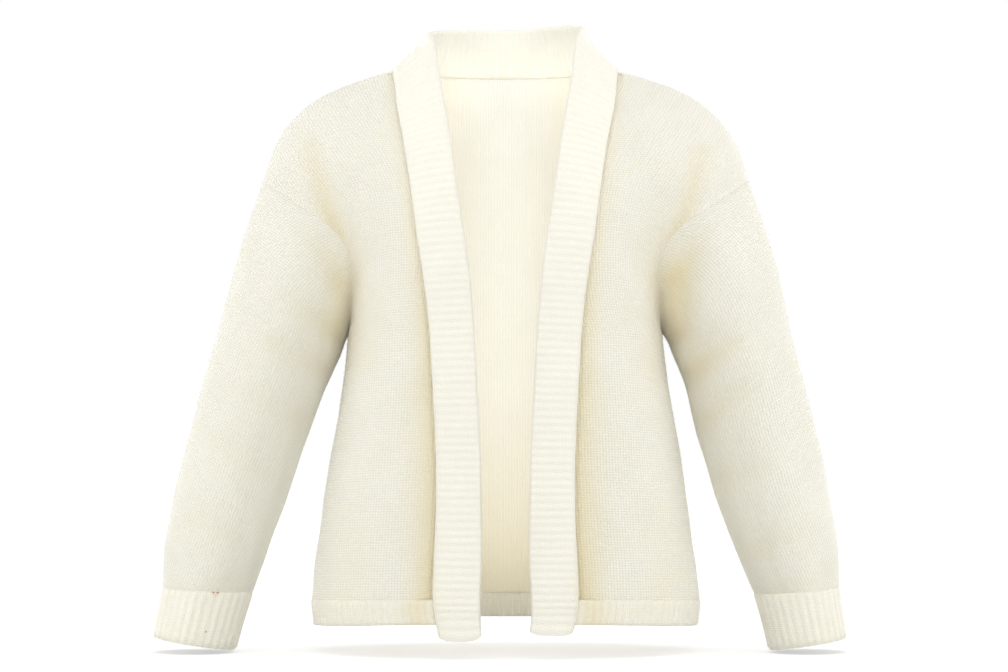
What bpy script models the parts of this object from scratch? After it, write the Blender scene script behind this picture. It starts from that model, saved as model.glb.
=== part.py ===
"""Open-front drop-shoulder cardigan, filled out with no wearer.

The source works in millimetres and writes metres. Z is up, the front faces -Y,
and the wearer's right side is -X. The origin is at the base of the neck.
"""
import math

import bpy
import numpy as np

MM = 0.001

# Cloth sizes in millimetres
WALL = 3.0
SEAM_SETBACK = 0.17
BAND_SETBACK = 0.34
VALLEY = 0.2
RIB_PITCH = 8.0
RIB_HEIGHT = 1.5
BAND_PROUD = 1.8
EDGE_ROUND = 1.0

# Where ribs start after a seam and stop before a free edge
HEM_RIB_START = 3.0
HEM_RIB_STOP = 2.5
CUFF_RIB_START = 0.25
CUFF_RIB_STOP = 0.2
BAND_CROSSING = (0.0, 0.06, 0.5, 0.94, 1.0)
EDGE_RIB_SHARE = 0.35

# Grid counts
LOWER_ROWS = 8
UPPER_ROWS = 12
SHOULDER_COLS = 10
NECK_COLS = 5
SLEEVE_ROWS = 14
CUFF_ROWS = 4
CURVE_POINTS = 400
FINE = 12

# Yoke shape: how it leaves the underarm ring and arrives at the shoulder
SIDE_FADE = 1.25
EDGE_FADE = 1.6
YOKE_LEAVE = 1.35
YOKE_ARRIVE = 1.45
YOKE_SMOOTHING = 44
NECK_FORWARD = 60.0
NECK_RISE = 210.0
NECK_BLEND_START = 3
NECK_BLEND_COLS = 6.0
SLOPE_STEP = 10.0
NORMAL_PASSES = 2
SHARP_ANGLE = 50.0
KEY_STEPS = 20

# Body rings from the hem to above the underarm
BODY_COLUMNS = ("z", "half_width", "front", "back")
BODY_ROWS = (
    (-584.0, 204.5, 119.0, 106.0),
    (-558.0, 207.5, 121.0, 109.0),
    (-500.0, 200.5, 123.0, 110.0),
    (-440.0, 192.5, 126.0, 109.0),
    (-380.0, 182.5, 128.0, 107.0),
    (-320.0, 173.0, 130.0, 106.0),
    (-273.0, 167.5, 130.0, 107.0),
    (-220.0, 170.0, 128.0, 110.0),
    (-160.0, 176.0, 122.0, 112.0),
)
RING_POWER = 2.35
UNDERARM_Z = -273.0
HEM_RIB_TOP_Z = -557.0
HEM_END_Z = -584.0
FRONT_HEM_LIFT = 8.0

# Front edge where the band is sewn on: below the underarm, then up to the shoulder
LOW_EDGE_COLUMNS = ("z", "x")
LOW_EDGE_ROWS = (
    (-594.0, 70.0),
    (-576.0, 74.0),
    (-540.0, 75.5),
    (-507.0, 74.0),
    (-425.0, 72.0),
    (-350.0, 74.5),
    (-273.0, 79.0),
)
HIGH_EDGE_COLUMNS = ("x", "y", "z")
HIGH_EDGE_ROWS = (
    (79.0, -118.0, -273.0),
    (82.5, -119.0, -238.0),
    (87.0, -117.0, -204.0),
    (92.5, -112.0, -170.0),
    (97.5, -103.0, -135.0),
    (102.5, -88.0, -100.0),
    (108.5, -66.0, -65.0),
    (115.5, -40.0, -32.0),
    (119.8, 4.0, 7.5),
)
RIGHT_BAND_END_Z = -594.0
LEFT_BAND_END_Z = -588.0

# Armhole seam from the underarm to the top of the dropped shoulder
ARMHOLE_COLUMNS = ("x", "front_y", "back_y", "z")
ARMHOLE_ROWS = (
    (167.0, 0.0, 0.0, -273.0),
    (164.5, -26.0, 24.0, -256.0),
    (163.0, -45.0, 42.0, -218.0),
    (171.0, -57.0, 54.0, -178.0),
    (190.0, -61.0, 58.0, -156.5),
    (216.0, -56.0, 54.0, -139.0),
    (240.0, -43.0, 42.0, -122.5),
    (254.0, -24.0, 24.0, -113.5),
    (259.5, 0.0, 0.0, -110.0),
)

# Shoulder ridge: end points and the two handles of its curve
RIDGE_OUTER = (259.5, 0.0, -110.0)
RIDGE_OUTER_HANDLE = (244.0, 1.0, -40.0)
RIDGE_INNER_HANDLE = (205.0, 3.0, -12.0)
NECK_POINT = (119.8, 4.0, 7.5)
BACK_NECK = (0.0, 76.0, 4.0)
NECK_CORNER_PULL = 0.62

# Sleeve sections in the picture plane, from the armhole to the cuff's end
SLEEVE_COLUMNS = ("outer_x", "outer_z", "inner_x", "inner_z", "half_depth", "mid_y")
RIGHT_SLEEVE_ROWS = (
    (258.0, -110.0, 167.0, -273.0, 60.0, 0.0),
    (280.0, -174.0, 172.5, -283.0, 67.0, -1.0),
    (299.5, -241.0, 178.0, -299.0, 68.0, -3.0),
    (316.5, -302.0, 191.5, -331.0, 64.0, -6.0),
    (333.5, -366.0, 212.0, -387.0, 59.0, -9.0),
    (349.5, -430.0, 235.0, -454.0, 54.0, -12.0),
    (362.5, -494.0, 254.5, -508.0, 49.0, -15.0),
    (365.5, -543.0, 269.5, -548.0, 44.0, -17.0),
    (375.0, -596.0, 288.0, -610.0, 39.0, -19.0),
)
LEFT_SLEEVE_ROWS = (
    (261.0, -110.0, 170.0, -273.0, 60.0, 0.0),
    (282.5, -174.0, 173.5, -283.0, 67.0, -1.0),
    (298.5, -241.0, 180.0, -299.0, 68.0, -3.0),
    (313.0, -302.0, 192.0, -331.0, 64.0, -6.0),
    (328.0, -366.0, 206.0, -387.0, 59.0, -9.0),
    (342.5, -430.0, 226.5, -454.0, 54.0, -12.0),
    (354.0, -494.0, 247.0, -508.0, 49.0, -15.0),
    (355.0, -543.0, 264.0, -550.0, 44.0, -17.0),
    (363.0, -597.0, 280.0, -610.0, 39.0, -19.0),
)
CUFF_RIBS = 30

# Band: the way from its sewn edge to its free edge, by share of the half length
BAND_COLUMNS = ("share", "inward", "forward", "up", "bow")
BAND_ROWS = (
    (0.00, 45.0, 3.0, 1.0, 2.5),
    (0.05, 49.0, 3.5, 0.0, 3.0),
    (0.20, 47.0, 4.0, 0.0, 3.0),
    (0.40, 46.5, 5.0, 2.0, 3.0),
    (0.52, 49.0, 7.0, 4.0, 3.5),
    (0.62, 48.0, 9.0, 9.0, 3.5),
    (0.70, 48.0, 10.0, 17.0, 3.0),
    (0.75, 46.5, 8.0, 27.0, 1.0),
    (0.80, 43.0, 2.0, 37.0, -1.5),
    (0.86, 27.0, 4.0, 46.5, -1.0),
    (0.93, 9.0, 7.0, 51.5, 0.5),
    (1.00, 0.0, 7.0, 52.5, 1.0),
)
LEFT_COLLAR_RISE = 6.0
COLLAR_RISE_AT = 0.86
COLLAR_RISE_SPAN = 0.09

WOOL_COLOUR = (0.87, 0.84, 0.74, 1.0)
RIB_COLOUR = (0.90, 0.88, 0.79, 1.0)


def smooth_table(knots, values, at):
    """Smooth curve through table rows, read at any places along the knots."""
    knots = np.asarray(knots, float)
    values = np.asarray(values, float)
    at = np.clip(np.asarray(at, float), knots[0], knots[-1])
    steps = np.diff(knots)
    slopes = np.diff(values, axis=0) / steps[:, None]
    tangents = np.empty_like(values)
    tangents[0] = slopes[0]
    tangents[-1] = slopes[-1]
    before = steps[:-1, None]
    after = steps[1:, None]
    tangents[1:-1] = (slopes[:-1] * after + slopes[1:] * before) / (before + after)
    span = np.clip(np.searchsorted(knots, at, side="right") - 1, 0, len(steps) - 1)
    width = steps[span][:, None]
    t = ((at - knots[span]) / steps[span])[:, None]
    return (
        (2 * t**3 - 3 * t**2 + 1) * values[span]
        + (t**3 - 2 * t**2 + t) * width * tangents[span]
        + (3 * t**2 - 2 * t**3) * values[span + 1]
        + (t**3 - t**2) * width * tangents[span + 1]
    )


def lengths_along(points):
    """Distance from the first point to each point of a line."""
    steps = np.linalg.norm(np.diff(points, axis=0), axis=1)
    return np.concatenate([[0.0], np.cumsum(steps)])


def along_line(points, places):
    """Points at the given distances on a line of straight pieces."""
    reach = lengths_along(points)
    columns = [np.interp(places, reach, column) for column in points.T]
    return np.stack(columns, axis=1)


def even_points(points, count):
    """A line divided into equal lengths."""
    reach = lengths_along(points)[-1]
    return along_line(points, np.linspace(0.0, reach, count + 1))


def even_curve(rows, count):
    """A smooth curve through points, divided into equal lengths."""
    rows = np.asarray(rows, float)
    knots = lengths_along(rows)
    fine = smooth_table(knots, rows, np.linspace(0.0, knots[-1], CURVE_POINTS))
    return even_points(fine, count)


def unit(vectors):
    """Vectors made one unit long."""
    size = np.linalg.norm(vectors, axis=-1, keepdims=True)
    return vectors / np.maximum(size, 1e-9)


def cubic_curve(start, first, second, end):
    """A curve from two end points and two handles."""
    t = np.linspace(0.0, 1.0, CURVE_POINTS)[:, None]
    start, first, second, end = (np.asarray(p, float) for p in (start, first, second, end))
    return ((1 - t)**3 * start + 3 * (1 - t)**2 * t * first
            + 3 * (1 - t) * t**2 * second + t**3 * end)


def ring_size(z):
    """Half width, front depth and back depth of the body at a height."""
    rows = np.asarray(BODY_ROWS)
    return smooth_table(rows[:, 0], rows[:, 1:], [z])[0]


def low_edge_x(z):
    """Distance of the sewn front edge from the middle, below the underarm."""
    rows = np.asarray(LOW_EDGE_ROWS)
    return smooth_table(rows[:, 0], rows[:, 1:], [z])[0][0]


def ring_line(z, front, stop_x, lift):
    """One side of a body ring, from the side seam in to stop_x, for the +X side."""
    half_width, front_depth, back_depth = ring_size(z)
    depth = -front_depth if front else back_depth
    turn = np.linspace(0.0, math.pi / 2, CURVE_POINTS)
    x = half_width * np.cos(turn)**(2 / RING_POWER)
    y = depth * np.sin(turn)**(2 / RING_POWER)
    raised = lift * np.abs(y / depth)**2
    line = np.stack([x, y, np.full_like(x, z) + raised], axis=1)
    keep = line[:, 0] >= stop_x - 1e-9
    inside = line[keep]
    if stop_x > 0:
        end_y = np.interp(-stop_x, -line[:, 0], line[:, 1])
        end_z = np.interp(-stop_x, -line[:, 0], line[:, 2])
        inside = np.vstack([inside, [stop_x, end_y, end_z]])
    return inside


def hem_lift(z):
    """How far the front hangs higher than the side at a height."""
    share = (z - UNDERARM_Z) / (HEM_END_Z - UNDERARM_Z)
    return FRONT_HEM_LIFT * max(0.0, share)**2


def body_row(z, front, fine=1):
    """Even grid points on a body ring for the +X side."""
    if front:
        return even_points(ring_line(z, True, low_edge_x(z), hem_lift(z)), SHOULDER_COLS * fine)
    return even_points(ring_line(z, False, 0.0, 0.0), (SHOULDER_COLS + NECK_COLS) * fine)


def ridge_line(fine=1):
    """Shoulder seam from the dropped point to the neck, for the +X side."""
    line = cubic_curve(RIDGE_OUTER, RIDGE_OUTER_HANDLE, RIDGE_INNER_HANDLE, NECK_POINT)
    return even_points(line, SHOULDER_COLS * fine)


def neck_line(fine=1):
    """Back neck seam from the shoulder to the middle, for the +X side."""
    corner = (NECK_POINT[0], BACK_NECK[1], 0.5 * (NECK_POINT[2] + BACK_NECK[2]))
    first = np.asarray(NECK_POINT) + NECK_CORNER_PULL * (np.asarray(corner) - np.asarray(NECK_POINT))
    second = np.asarray(BACK_NECK) + NECK_CORNER_PULL * (np.asarray(corner) - np.asarray(BACK_NECK))
    first[2] = NECK_POINT[2]
    second[2] = BACK_NECK[2]
    return even_points(cubic_curve(NECK_POINT, first, second, BACK_NECK), NECK_COLS * fine)


def armhole_line(front):
    """Armhole seam from the underarm to the dropped shoulder point."""
    rows = np.asarray(ARMHOLE_ROWS)
    depth = rows[:, 1] if front else rows[:, 2]
    return even_curve(np.stack([rows[:, 0], depth, rows[:, 3]], axis=1), UPPER_ROWS)


def upper_rows(front):
    """Rows of the yoke, from the underarm ring up to the shoulder seam."""
    bottom = body_row(UNDERARM_Z, front, FINE)
    below = body_row(UNDERARM_Z - SLOPE_STEP, front, FINE)
    top = ridge_line(FINE)
    if not front:
        top = np.vstack([top, neck_line(FINE)[1:]])
    cols = (len(top) - 1) // FINE
    height = (top[:, 2] - bottom[:, 2])[:, None]
    leave = (bottom - below) / SLOPE_STEP * height * YOKE_LEAVE
    reach = np.abs(top[:, 1] - bottom[:, 1])
    arrive = np.zeros_like(top)
    arrive[:, 1] = (1.0 if front else -1.0) * YOKE_ARRIVE * reach
    if not front:
        share = (np.arange(len(top)) / FINE - SHOULDER_COLS + NECK_BLEND_START) / NECK_BLEND_COLS
        share = np.clip(share, 0.0, 1.0)
        share = share * share * (3 - 2 * share)
        arrive[:, 1] = -YOKE_ARRIVE * ((1 - share) * reach + share * NECK_FORWARD)
        arrive[:, 2] = share * NECK_RISE
    side = armhole_line(front)
    inner = even_curve(HIGH_EDGE_ROWS, UPPER_ROWS) if front else None
    u = np.linspace(0.0, 1.0, cols + 1)[:, None]
    rows = []
    for step in range(1, UPPER_ROWS + 1):
        t = step / UPPER_ROWS
        full = ((2 * t**3 - 3 * t**2 + 1) * bottom + (t**3 - 2 * t**2 + t) * leave
                + (3 * t**2 - 2 * t**3) * top + (t**3 - t**2) * arrive)
        start = np.argmin(np.linalg.norm(full[:len(full) // 2] - side[step], axis=1))
        if step == UPPER_ROWS:
            start = 0
        places = np.linspace(start, len(full) - 1, cols + 1)
        numbers = np.arange(len(full))
        row = np.stack([np.interp(places, numbers, column) for column in full.T], axis=1)
        row = row + (1 - u)**SIDE_FADE * (side[step] - row[0])
        if front:
            row = row + u**EDGE_FADE * (inner[step] - row[-1])
        for _ in range(round(YOKE_SMOOTHING * t * t * (1 - t))):
            row[1:-1] = 0.25 * row[:-2] + 0.5 * row[1:-1] + 0.25 * row[2:]
            if not front:
                row[-1, 1:] = 0.5 * row[-1, 1:] + 0.5 * row[-2, 1:]
        rows.append(row)
    return rows


def panel_grid(front):
    """Outer points of half a body panel on the +X side, rows from the hem up."""
    heights = np.linspace(HEM_RIB_TOP_Z, UNDERARM_Z, LOWER_ROWS + 1)
    rows = [body_row(z, front) for z in heights]
    rows[-1][0] = (ARMHOLE_ROWS[0][0], 0.0, UNDERARM_Z)
    rows.extend(upper_rows(front))
    return np.array(rows)


def mirrored(grid):
    """The same grid on the other side, wound to face outward."""
    return (grid * np.array([-1.0, 1.0, 1.0]))[:, ::-1]


def sleeve_grid(rows_table, side):
    """Rings of a sleeve from the armhole to the cuff seam, for one side."""
    table = np.asarray(rows_table)
    front = armhole_line(True)[::-1]
    back = armhole_line(False)
    loop = np.vstack([front, back[1:-1]])
    around = len(loop)
    turn = np.linspace(0.0, 2 * math.pi, around, endpoint=False)
    rings = [loop]
    for outer_x, outer_z, inner_x, inner_z, half_depth, mid_y in table[1:]:
        middle = np.array([(outer_x + inner_x) / 2, mid_y, (outer_z + inner_z) / 2])
        out = np.array([(outer_x - inner_x) / 2, 0.0, (outer_z - inner_z) / 2])
        rings.append(middle + np.cos(turn)[:, None] * out
                     - np.sin(turn)[:, None] * np.array([0.0, half_depth, 0.0]))
    rings = np.array(rings)
    flat = rings.reshape(len(rings), -1)
    knots = np.arange(len(rings), dtype=float)
    sleeve_at = np.linspace(0.0, len(rings) - 2.0, SLEEVE_ROWS + 1)
    sleeve = smooth_table(knots, flat, sleeve_at).reshape(-1, around, 3)
    cuff_at = np.linspace(len(rings) - 2.0, len(rings) - 1.0, CUFF_ROWS + 1)
    cuff = smooth_table(knots, flat, cuff_at).reshape(-1, around, 3)
    flip = np.array([side, 1.0, 1.0])
    return sleeve * flip, cuff * flip


def grid_normals(grid, closed, middle):
    """Directions square to a grid of points, pointing away from a middle point."""
    if closed:
        across = np.roll(grid, -1, axis=1) - np.roll(grid, 1, axis=1)
    else:
        across = np.gradient(grid, axis=1)
    along = np.gradient(grid, axis=0)
    found = unit(np.cross(across, along))
    if np.sum(found * (grid - middle)) < 0:
        found = -found
    return found


def smoothed(vectors, axis, passes, closed=False):
    """Directions evened out along one way of a grid, its ends included."""
    for _ in range(passes):
        if closed:
            before, after = np.roll(vectors, 1, axis=axis), np.roll(vectors, -1, axis=axis)
        else:
            padded = np.concatenate([np.take(vectors, [0], axis=axis), vectors,
                                     np.take(vectors, [-1], axis=axis)], axis=axis)
            count = vectors.shape[axis]
            before = np.take(padded, range(count), axis=axis)
            after = np.take(padded, range(2, count + 2), axis=axis)
        vectors = unit(0.25 * before + 0.5 * vectors + 0.25 * after)
    return vectors


def key_of(point):
    """A rounded point that finds the same place in another piece."""
    return tuple(int(round(value * KEY_STEPS)) for value in point)


def inward_ways(grid, closed):
    """Directions along the cloth from each border point into its own piece."""
    ways = np.zeros_like(grid)
    ways[0] += unit(grid[1] - grid[0])
    ways[-1] += unit(grid[-2] - grid[-1])
    if not closed:
        ways[:, 0] += unit(grid[:, 1] - grid[:, 0])
        ways[:, -1] += unit(grid[:, -2] - grid[:, -1])
    return unit(ways)


class SeamNormals:
    """Directions shared by pieces that meet flat or over a ridge.

    In a valley, as at the armhole, each piece keeps its own direction.
    """

    def __init__(self):
        self.found = {}

    def add(self, name, grid, normals):
        """Keep a piece's directions by place."""
        for point, normal in zip(grid.reshape(-1, 3), normals.reshape(-1, 3)):
            self.found.setdefault(key_of(point), []).append((name, normal))

    def read(self, name, grid, normals, closed):
        """A grid's directions, shared at its borders where the pieces run on."""
        ways = inward_ways(grid, closed).reshape(-1, 3)
        own = normals.reshape(-1, 3)
        result = own.copy()
        for index, point in enumerate(grid.reshape(-1, 3)):
            total = own[index].copy()
            for other, normal in self.found.get(key_of(point), ()):
                alike = np.dot(own[index], normal) > VALLEY
                if other != name and alike and np.dot(ways[index], normal) < VALLEY:
                    total = total + normal
            result[index] = unit(total)
        return result.reshape(grid.shape)

    def read_line(self, name, line, normals):
        """A seam line's directions, shared with every piece that it meets."""
        result = normals.copy()
        for index, point in enumerate(line):
            total = normals[index].copy()
            for other, normal in self.found.get(key_of(point), ()):
                if other != name:
                    total = total + normal
            result[index] = unit(total)
        return result


def set_back(points, normals, inner_points, amount=SEAM_SETBACK):
    """Border points moved off their seam, square to the border, and a little inward."""
    tangents = unit(np.gradient(points, axis=0))
    square = unit(np.cross(tangents, normals))
    side = np.sign(np.sum(square * (inner_points - points), axis=1, keepdims=True))
    return (square * side - 0.5 * normals) * amount


def border_shift(grid, normals, closed):
    """Small moves that take every border of a grid off its seam."""
    shift = np.zeros_like(grid)
    for edge, inner in ((0, 1), (-1, -2)):
        line = grid[edge]
        if closed:
            wrapped = np.vstack([line[-1:], line, line[:1]])
            wrapped_normals = np.vstack([normals[edge][-1:], normals[edge], normals[edge][:1]])
            wrapped_inner = np.vstack([grid[inner][-1:], grid[inner], grid[inner][:1]])
            shift[edge] += set_back(wrapped, wrapped_normals, wrapped_inner)[1:-1]
        else:
            shift[edge] += set_back(line, normals[edge], grid[inner])
            side_line = grid[:, edge]
            shift[:, edge] += set_back(side_line, normals[:, edge], grid[:, inner])
    return shift


def material(name, colour):
    """A plain woollen material."""
    found = bpy.data.materials.get(name)
    if found:
        return found
    made = bpy.data.materials.new(name)
    made.use_nodes = True
    shader = made.node_tree.nodes["Principled BSDF"]
    shader.inputs["Base Color"].default_value = colour
    shader.inputs["Roughness"].default_value = 0.9
    made.diffuse_color = colour
    return made


def add_solid(name, outer, inner, closed, colour):
    """One closed body from an outer grid and an inner grid of the same columns."""
    cols = outer.shape[1]
    outer_rows = outer.shape[0]
    inner_rows = inner.shape[0]
    points = np.vstack([outer.reshape(-1, 3), inner.reshape(-1, 3)]) * MM
    base = outer_rows * cols
    faces = []
    last = cols if closed else cols - 1
    for j in range(last):
        n = (j + 1) % cols
        for i in range(outer_rows - 1):
            low = i * cols
            faces.append((low + j, low + n, low + cols + n, low + cols + j))
        for i in range(inner_rows - 1):
            low = base + i * cols
            faces.append((low + j, low + cols + j, low + cols + n, low + n))
        faces.append((j, base + j, base + n, n))
        top = (outer_rows - 1) * cols
        inner_top = base + (inner_rows - 1) * cols
        faces.append((top + j, top + n, inner_top + n, inner_top + j))
    if not closed:
        for j in (0, cols - 1):
            rim = [i * cols + j for i in range(outer_rows)]
            rim += [base + i * cols + j for i in range(inner_rows - 1, -1, -1)]
            if outer_rows == inner_rows:
                for i in range(outer_rows - 1):
                    quad = (i * cols + j, (i + 1) * cols + j,
                            base + (i + 1) * cols + j, base + i * cols + j)
                    faces.append(quad if j == 0 else quad[::-1])
            else:
                faces.append(tuple(rim) if j == 0 else tuple(rim[::-1]))
    mesh = bpy.data.meshes.new(name)
    mesh.from_pydata(points.tolist(), [], faces)
    mesh.validate()
    mesh.update()
    corners = mesh.vertices
    volume = 0.0
    mesh.calc_loop_triangles()
    for triangle in mesh.loop_triangles:
        a, b, c = (corners[k].co for k in triangle.vertices)
        volume += a.dot(b.cross(c)) / 6.0
    if volume < 0:
        mesh.flip_normals()
    for polygon in mesh.polygons:
        polygon.use_smooth = True
    mesh.set_sharp_from_angle(angle=math.radians(SHARP_ANGLE))
    made = bpy.data.objects.new(name, mesh)
    bpy.context.scene.collection.objects.link(made)
    made.data.materials.append(material(*colour))
    return made


def shell(name, grid, normals, closed, colour):
    """A cloth wall between the outer grid and the same grid moved in."""
    shift = border_shift(grid, normals, closed)
    outer = grid + shift
    inner = grid - normals * WALL + shift
    return add_solid(name, outer, inner, closed, colour)


def ribbed_strip(name, lines, line_normals, ribs, closed, colour, proud, gap):
    """A ribbed strip. lines holds rows of points across the strip, from its seam out."""
    seam = lines[0]
    reach = lengths_along(np.vstack([seam, seam[:1]]) if closed else seam)
    count = 2 * ribs
    places = np.linspace(0.0, 1.0, count + 1)
    if closed:
        places = places[:-1]
    share = reach / reach[-1]
    rows = []
    row_normals = []
    for line, normals in zip(lines, line_normals):
        source = np.vstack([line, line[:1]]) if closed else line
        ways = np.vstack([normals, normals[:1]]) if closed else normals
        rows.append(np.stack([np.interp(places, share, column) for column in source.T], axis=1))
        ways = np.stack([np.interp(places, share, column) for column in ways.T], axis=1)
        row_normals.append(unit(ways))
    rows = np.array(rows)
    row_normals = np.array(row_normals)
    crest = (np.arange(rows.shape[1]) % 2).astype(float)
    if not closed:
        crest[-1] = 0.0
    shift = np.zeros_like(rows)
    line, line_way, line_in = rows[0], row_normals[0], rows[1]
    if closed:
        line, line_way, line_in = (np.vstack([item[-1:], item, item[:1]])
                                   for item in (line, line_way, line_in))
        shift[0] += set_back(line, line_way, line_in, gap)[1:-1]
    else:
        shift[0] += set_back(line, line_way, line_in, gap)
    if not closed:
        for edge, inner in ((0, 1), (-1, -2)):
            shift[:, edge] += set_back(rows[:, edge], row_normals[:, edge], rows[:, inner])
    heights = np.full(len(rows), RIB_HEIGHT)
    heights[0] = 0.0
    heights[-1] = EDGE_RIB_SHARE * RIB_HEIGHT
    lift = proud + heights[:, None] * crest[None, :]
    lift[-1] -= EDGE_ROUND * 0.5
    outer = rows + shift + row_normals * lift[:, :, None]
    depth = np.full(len(rows), WALL)
    depth[-1] = WALL - EDGE_ROUND * 0.5
    inner = rows + shift - row_normals * depth[:, None, None]
    return add_solid(name, outer, inner[[0, -1]], closed, colour)


def band_way(share, side):
    """Vector from the sewn edge to the free edge of the band."""
    rows = np.asarray(BAND_ROWS)
    way = smooth_table(rows[:, 0], rows[:, 1:], share)
    inward, forward, up, bow = way[:, 0], way[:, 1], way[:, 2].copy(), way[:, 3]
    if side > 0:
        up += LEFT_COLLAR_RISE * np.exp(-((share - COLLAR_RISE_AT) / COLLAR_RISE_SPAN)**2)
    return np.stack([-side * inward, -forward, up], axis=1), bow


def hem_lines(front):
    """Rows across a hem rib, from its seam down to the hem, for the +X side."""
    heights = (HEM_RIB_TOP_Z, HEM_RIB_TOP_Z - HEM_RIB_START, HEM_END_Z + HEM_RIB_STOP, HEM_END_Z)
    return np.array([body_row(z, front) for z in heights])


def band_half(front_edge, side, end_z):
    """Half of the band's sewn edge, from its hem end to the middle of the back neck."""
    hem_end = body_row(HEM_END_Z, True)[-1]
    end = hem_end.copy()
    end[0] = low_edge_x(end_z - FRONT_HEM_LIFT)
    end[2] = end_z
    half = np.vstack([end, hem_end, front_edge, neck_line()[1:]])
    reach = lengths_along(half)
    way, bow = band_way(reach / reach[-1], side)
    return half * [side, 1, 1], way, bow


def add_band(seams, seam_line, ways, bows, band_normals, rib):
    """The ribbed band from its sewn edge to its free edge."""
    seam_normals = seams.read_line("front_band", seam_line, band_normals)
    lines = []
    line_normals = []
    for share in BAND_CROSSING:
        bow = (bows * 4 * share * (1 - share))[:, None]
        lines.append(seam_line + ways * share + band_normals * bow)
        line_normals.append(seam_normals if share == 0.0 else band_normals)
    ribs = int(round(lengths_along(seam_line)[-1] / RIB_PITCH))
    ribbed_strip("front_band", np.array(lines), np.array(line_normals),
                 ribs, False, rib, BAND_PROUD, BAND_SETBACK)


def build():
    """Make every piece of the cardigan."""
    for old in list(bpy.data.objects):
        bpy.data.objects.remove(old, do_unlink=True)

    wool = ("cream_wool_knit", WOOL_COLOUR)
    rib = ("cream_wool_rib", RIB_COLOUR)
    seams = SeamNormals()

    left_front = panel_grid(True)
    half_back = panel_grid(False)
    right_front = mirrored(left_front)
    back = np.concatenate([half_back, mirrored(half_back)[:, 1:]], axis=1)

    right_sleeve, right_cuff = sleeve_grid(RIGHT_SLEEVE_ROWS, -1.0)
    left_sleeve, left_cuff = sleeve_grid(LEFT_SLEEVE_ROWS, 1.0)

    body_middle = np.array([0.0, 0.0, UNDERARM_Z])
    panels = (
        ("left_front", left_front, False, body_middle),
        ("right_front", right_front, False, body_middle),
        ("back_panel", back, False, body_middle),
        ("right_sleeve", right_sleeve, True, right_sleeve.reshape(-1, 3).mean(axis=0)),
        ("left_sleeve", left_sleeve, True, left_sleeve.reshape(-1, 3).mean(axis=0)),
    )
    normals = {}
    for name, grid, closed, middle in panels:
        found = grid_normals(grid, closed, middle)
        found = smoothed(smoothed(found, 1, NORMAL_PASSES, closed), 0, 1)
        normals[name] = found
        seams.add(name, grid, found)

    # Sewn edge of the band, from one hem end round the back neck to the other
    first = band_half(left_front[:, -1], -1.0, RIGHT_BAND_END_Z)
    second = band_half(left_front[:, -1], 1.0, LEFT_BAND_END_Z)
    seam_line, ways, bows = (np.concatenate([a, b[::-1][1:]]) for a, b in zip(first, second))
    band_normals = unit(np.cross(unit(np.gradient(seam_line, axis=0)), ways))
    if band_normals[0, 1] > 0:
        band_normals = -band_normals
    band_normals = smoothed(band_normals, 0, 2 * NORMAL_PASSES)
    seams.add("front_band", seam_line, band_normals)

    for name, grid, closed, middle in panels:
        normals[name] = seams.read(name, grid, normals[name], closed)
        shell(name, grid, normals[name], closed, wool)
    add_band(seams, seam_line, ways, bows, band_normals, rib)

    hem_front = hem_lines(True)
    hem_back_half = hem_lines(False)
    hem_back = np.concatenate([hem_back_half, mirrored(hem_back_half)[:, 1:]], axis=1)
    for name, lines, source in (
        ("left_hem_rib", hem_front, "left_front"),
        ("right_hem_rib", mirrored(hem_front), "right_front"),
        ("back_hem_rib", hem_back, "back_panel"),
    ):
        length = lengths_along(lines[0])[-1]
        rib_normals = np.array([normals[source][0]] * len(lines))
        ribbed_strip(name, lines, rib_normals, int(round(length / RIB_PITCH)),
                     False, rib, 0.0, SEAM_SETBACK)

    for name, cuff, source in (
        ("right_cuff", right_cuff, "right_sleeve"),
        ("left_cuff", left_cuff, "left_sleeve"),
    ):
        start = cuff[0] + (cuff[1] - cuff[0]) * CUFF_RIB_START
        stop = cuff[-1] + (cuff[-2] - cuff[-1]) * CUFF_RIB_STOP
        lines = np.array([cuff[0], start, stop, cuff[-1]])
        rib_normals = np.array([normals[source][-1]] * len(lines))
        ribbed_strip(name, lines, rib_normals, CUFF_RIBS, True, rib, 0.0, SEAM_SETBACK)


build()
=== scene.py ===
# %% [markdown]
# # An open-front cream wool cardigan
# This lesson dresses a packed cardigan model for a studio picture. The packed
# model has the right shape, but its walls are plain and its ribs are coarse. Here
# each cut piece is knitted again as a fine, thin shell on the same form, with its
# seams, soft troughs, rounded ribs, wool stitches and a light fuzz.

import math

import bpy
import numpy as np
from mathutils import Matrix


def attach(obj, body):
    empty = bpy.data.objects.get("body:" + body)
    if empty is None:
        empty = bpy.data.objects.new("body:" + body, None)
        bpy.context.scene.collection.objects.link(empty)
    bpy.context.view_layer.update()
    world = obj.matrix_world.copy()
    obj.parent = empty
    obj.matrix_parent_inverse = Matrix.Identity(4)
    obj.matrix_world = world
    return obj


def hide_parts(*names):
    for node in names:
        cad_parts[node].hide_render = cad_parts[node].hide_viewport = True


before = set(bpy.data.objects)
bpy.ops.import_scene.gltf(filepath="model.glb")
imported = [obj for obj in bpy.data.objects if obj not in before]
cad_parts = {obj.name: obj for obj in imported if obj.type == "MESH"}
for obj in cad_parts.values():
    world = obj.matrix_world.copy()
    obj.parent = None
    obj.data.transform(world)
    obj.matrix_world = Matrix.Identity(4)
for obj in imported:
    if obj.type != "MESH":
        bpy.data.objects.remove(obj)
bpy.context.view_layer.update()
bpy.ops.object.select_all(action="DESELECT")
print("CAD pieces:", ", ".join(sorted(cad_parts)))

# %% [markdown]
# The garment's sizes are the ones that its maker would write down: rings round the
# body, the armhole seam, sections of each sleeve and the way the band stands. They
# are in millimetres, with Z up, the front towards -Y and the wearer's right at -X.
# Short tables are easier to change than thousands of points, and a smooth curve
# through their rows gives the rest.

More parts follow.
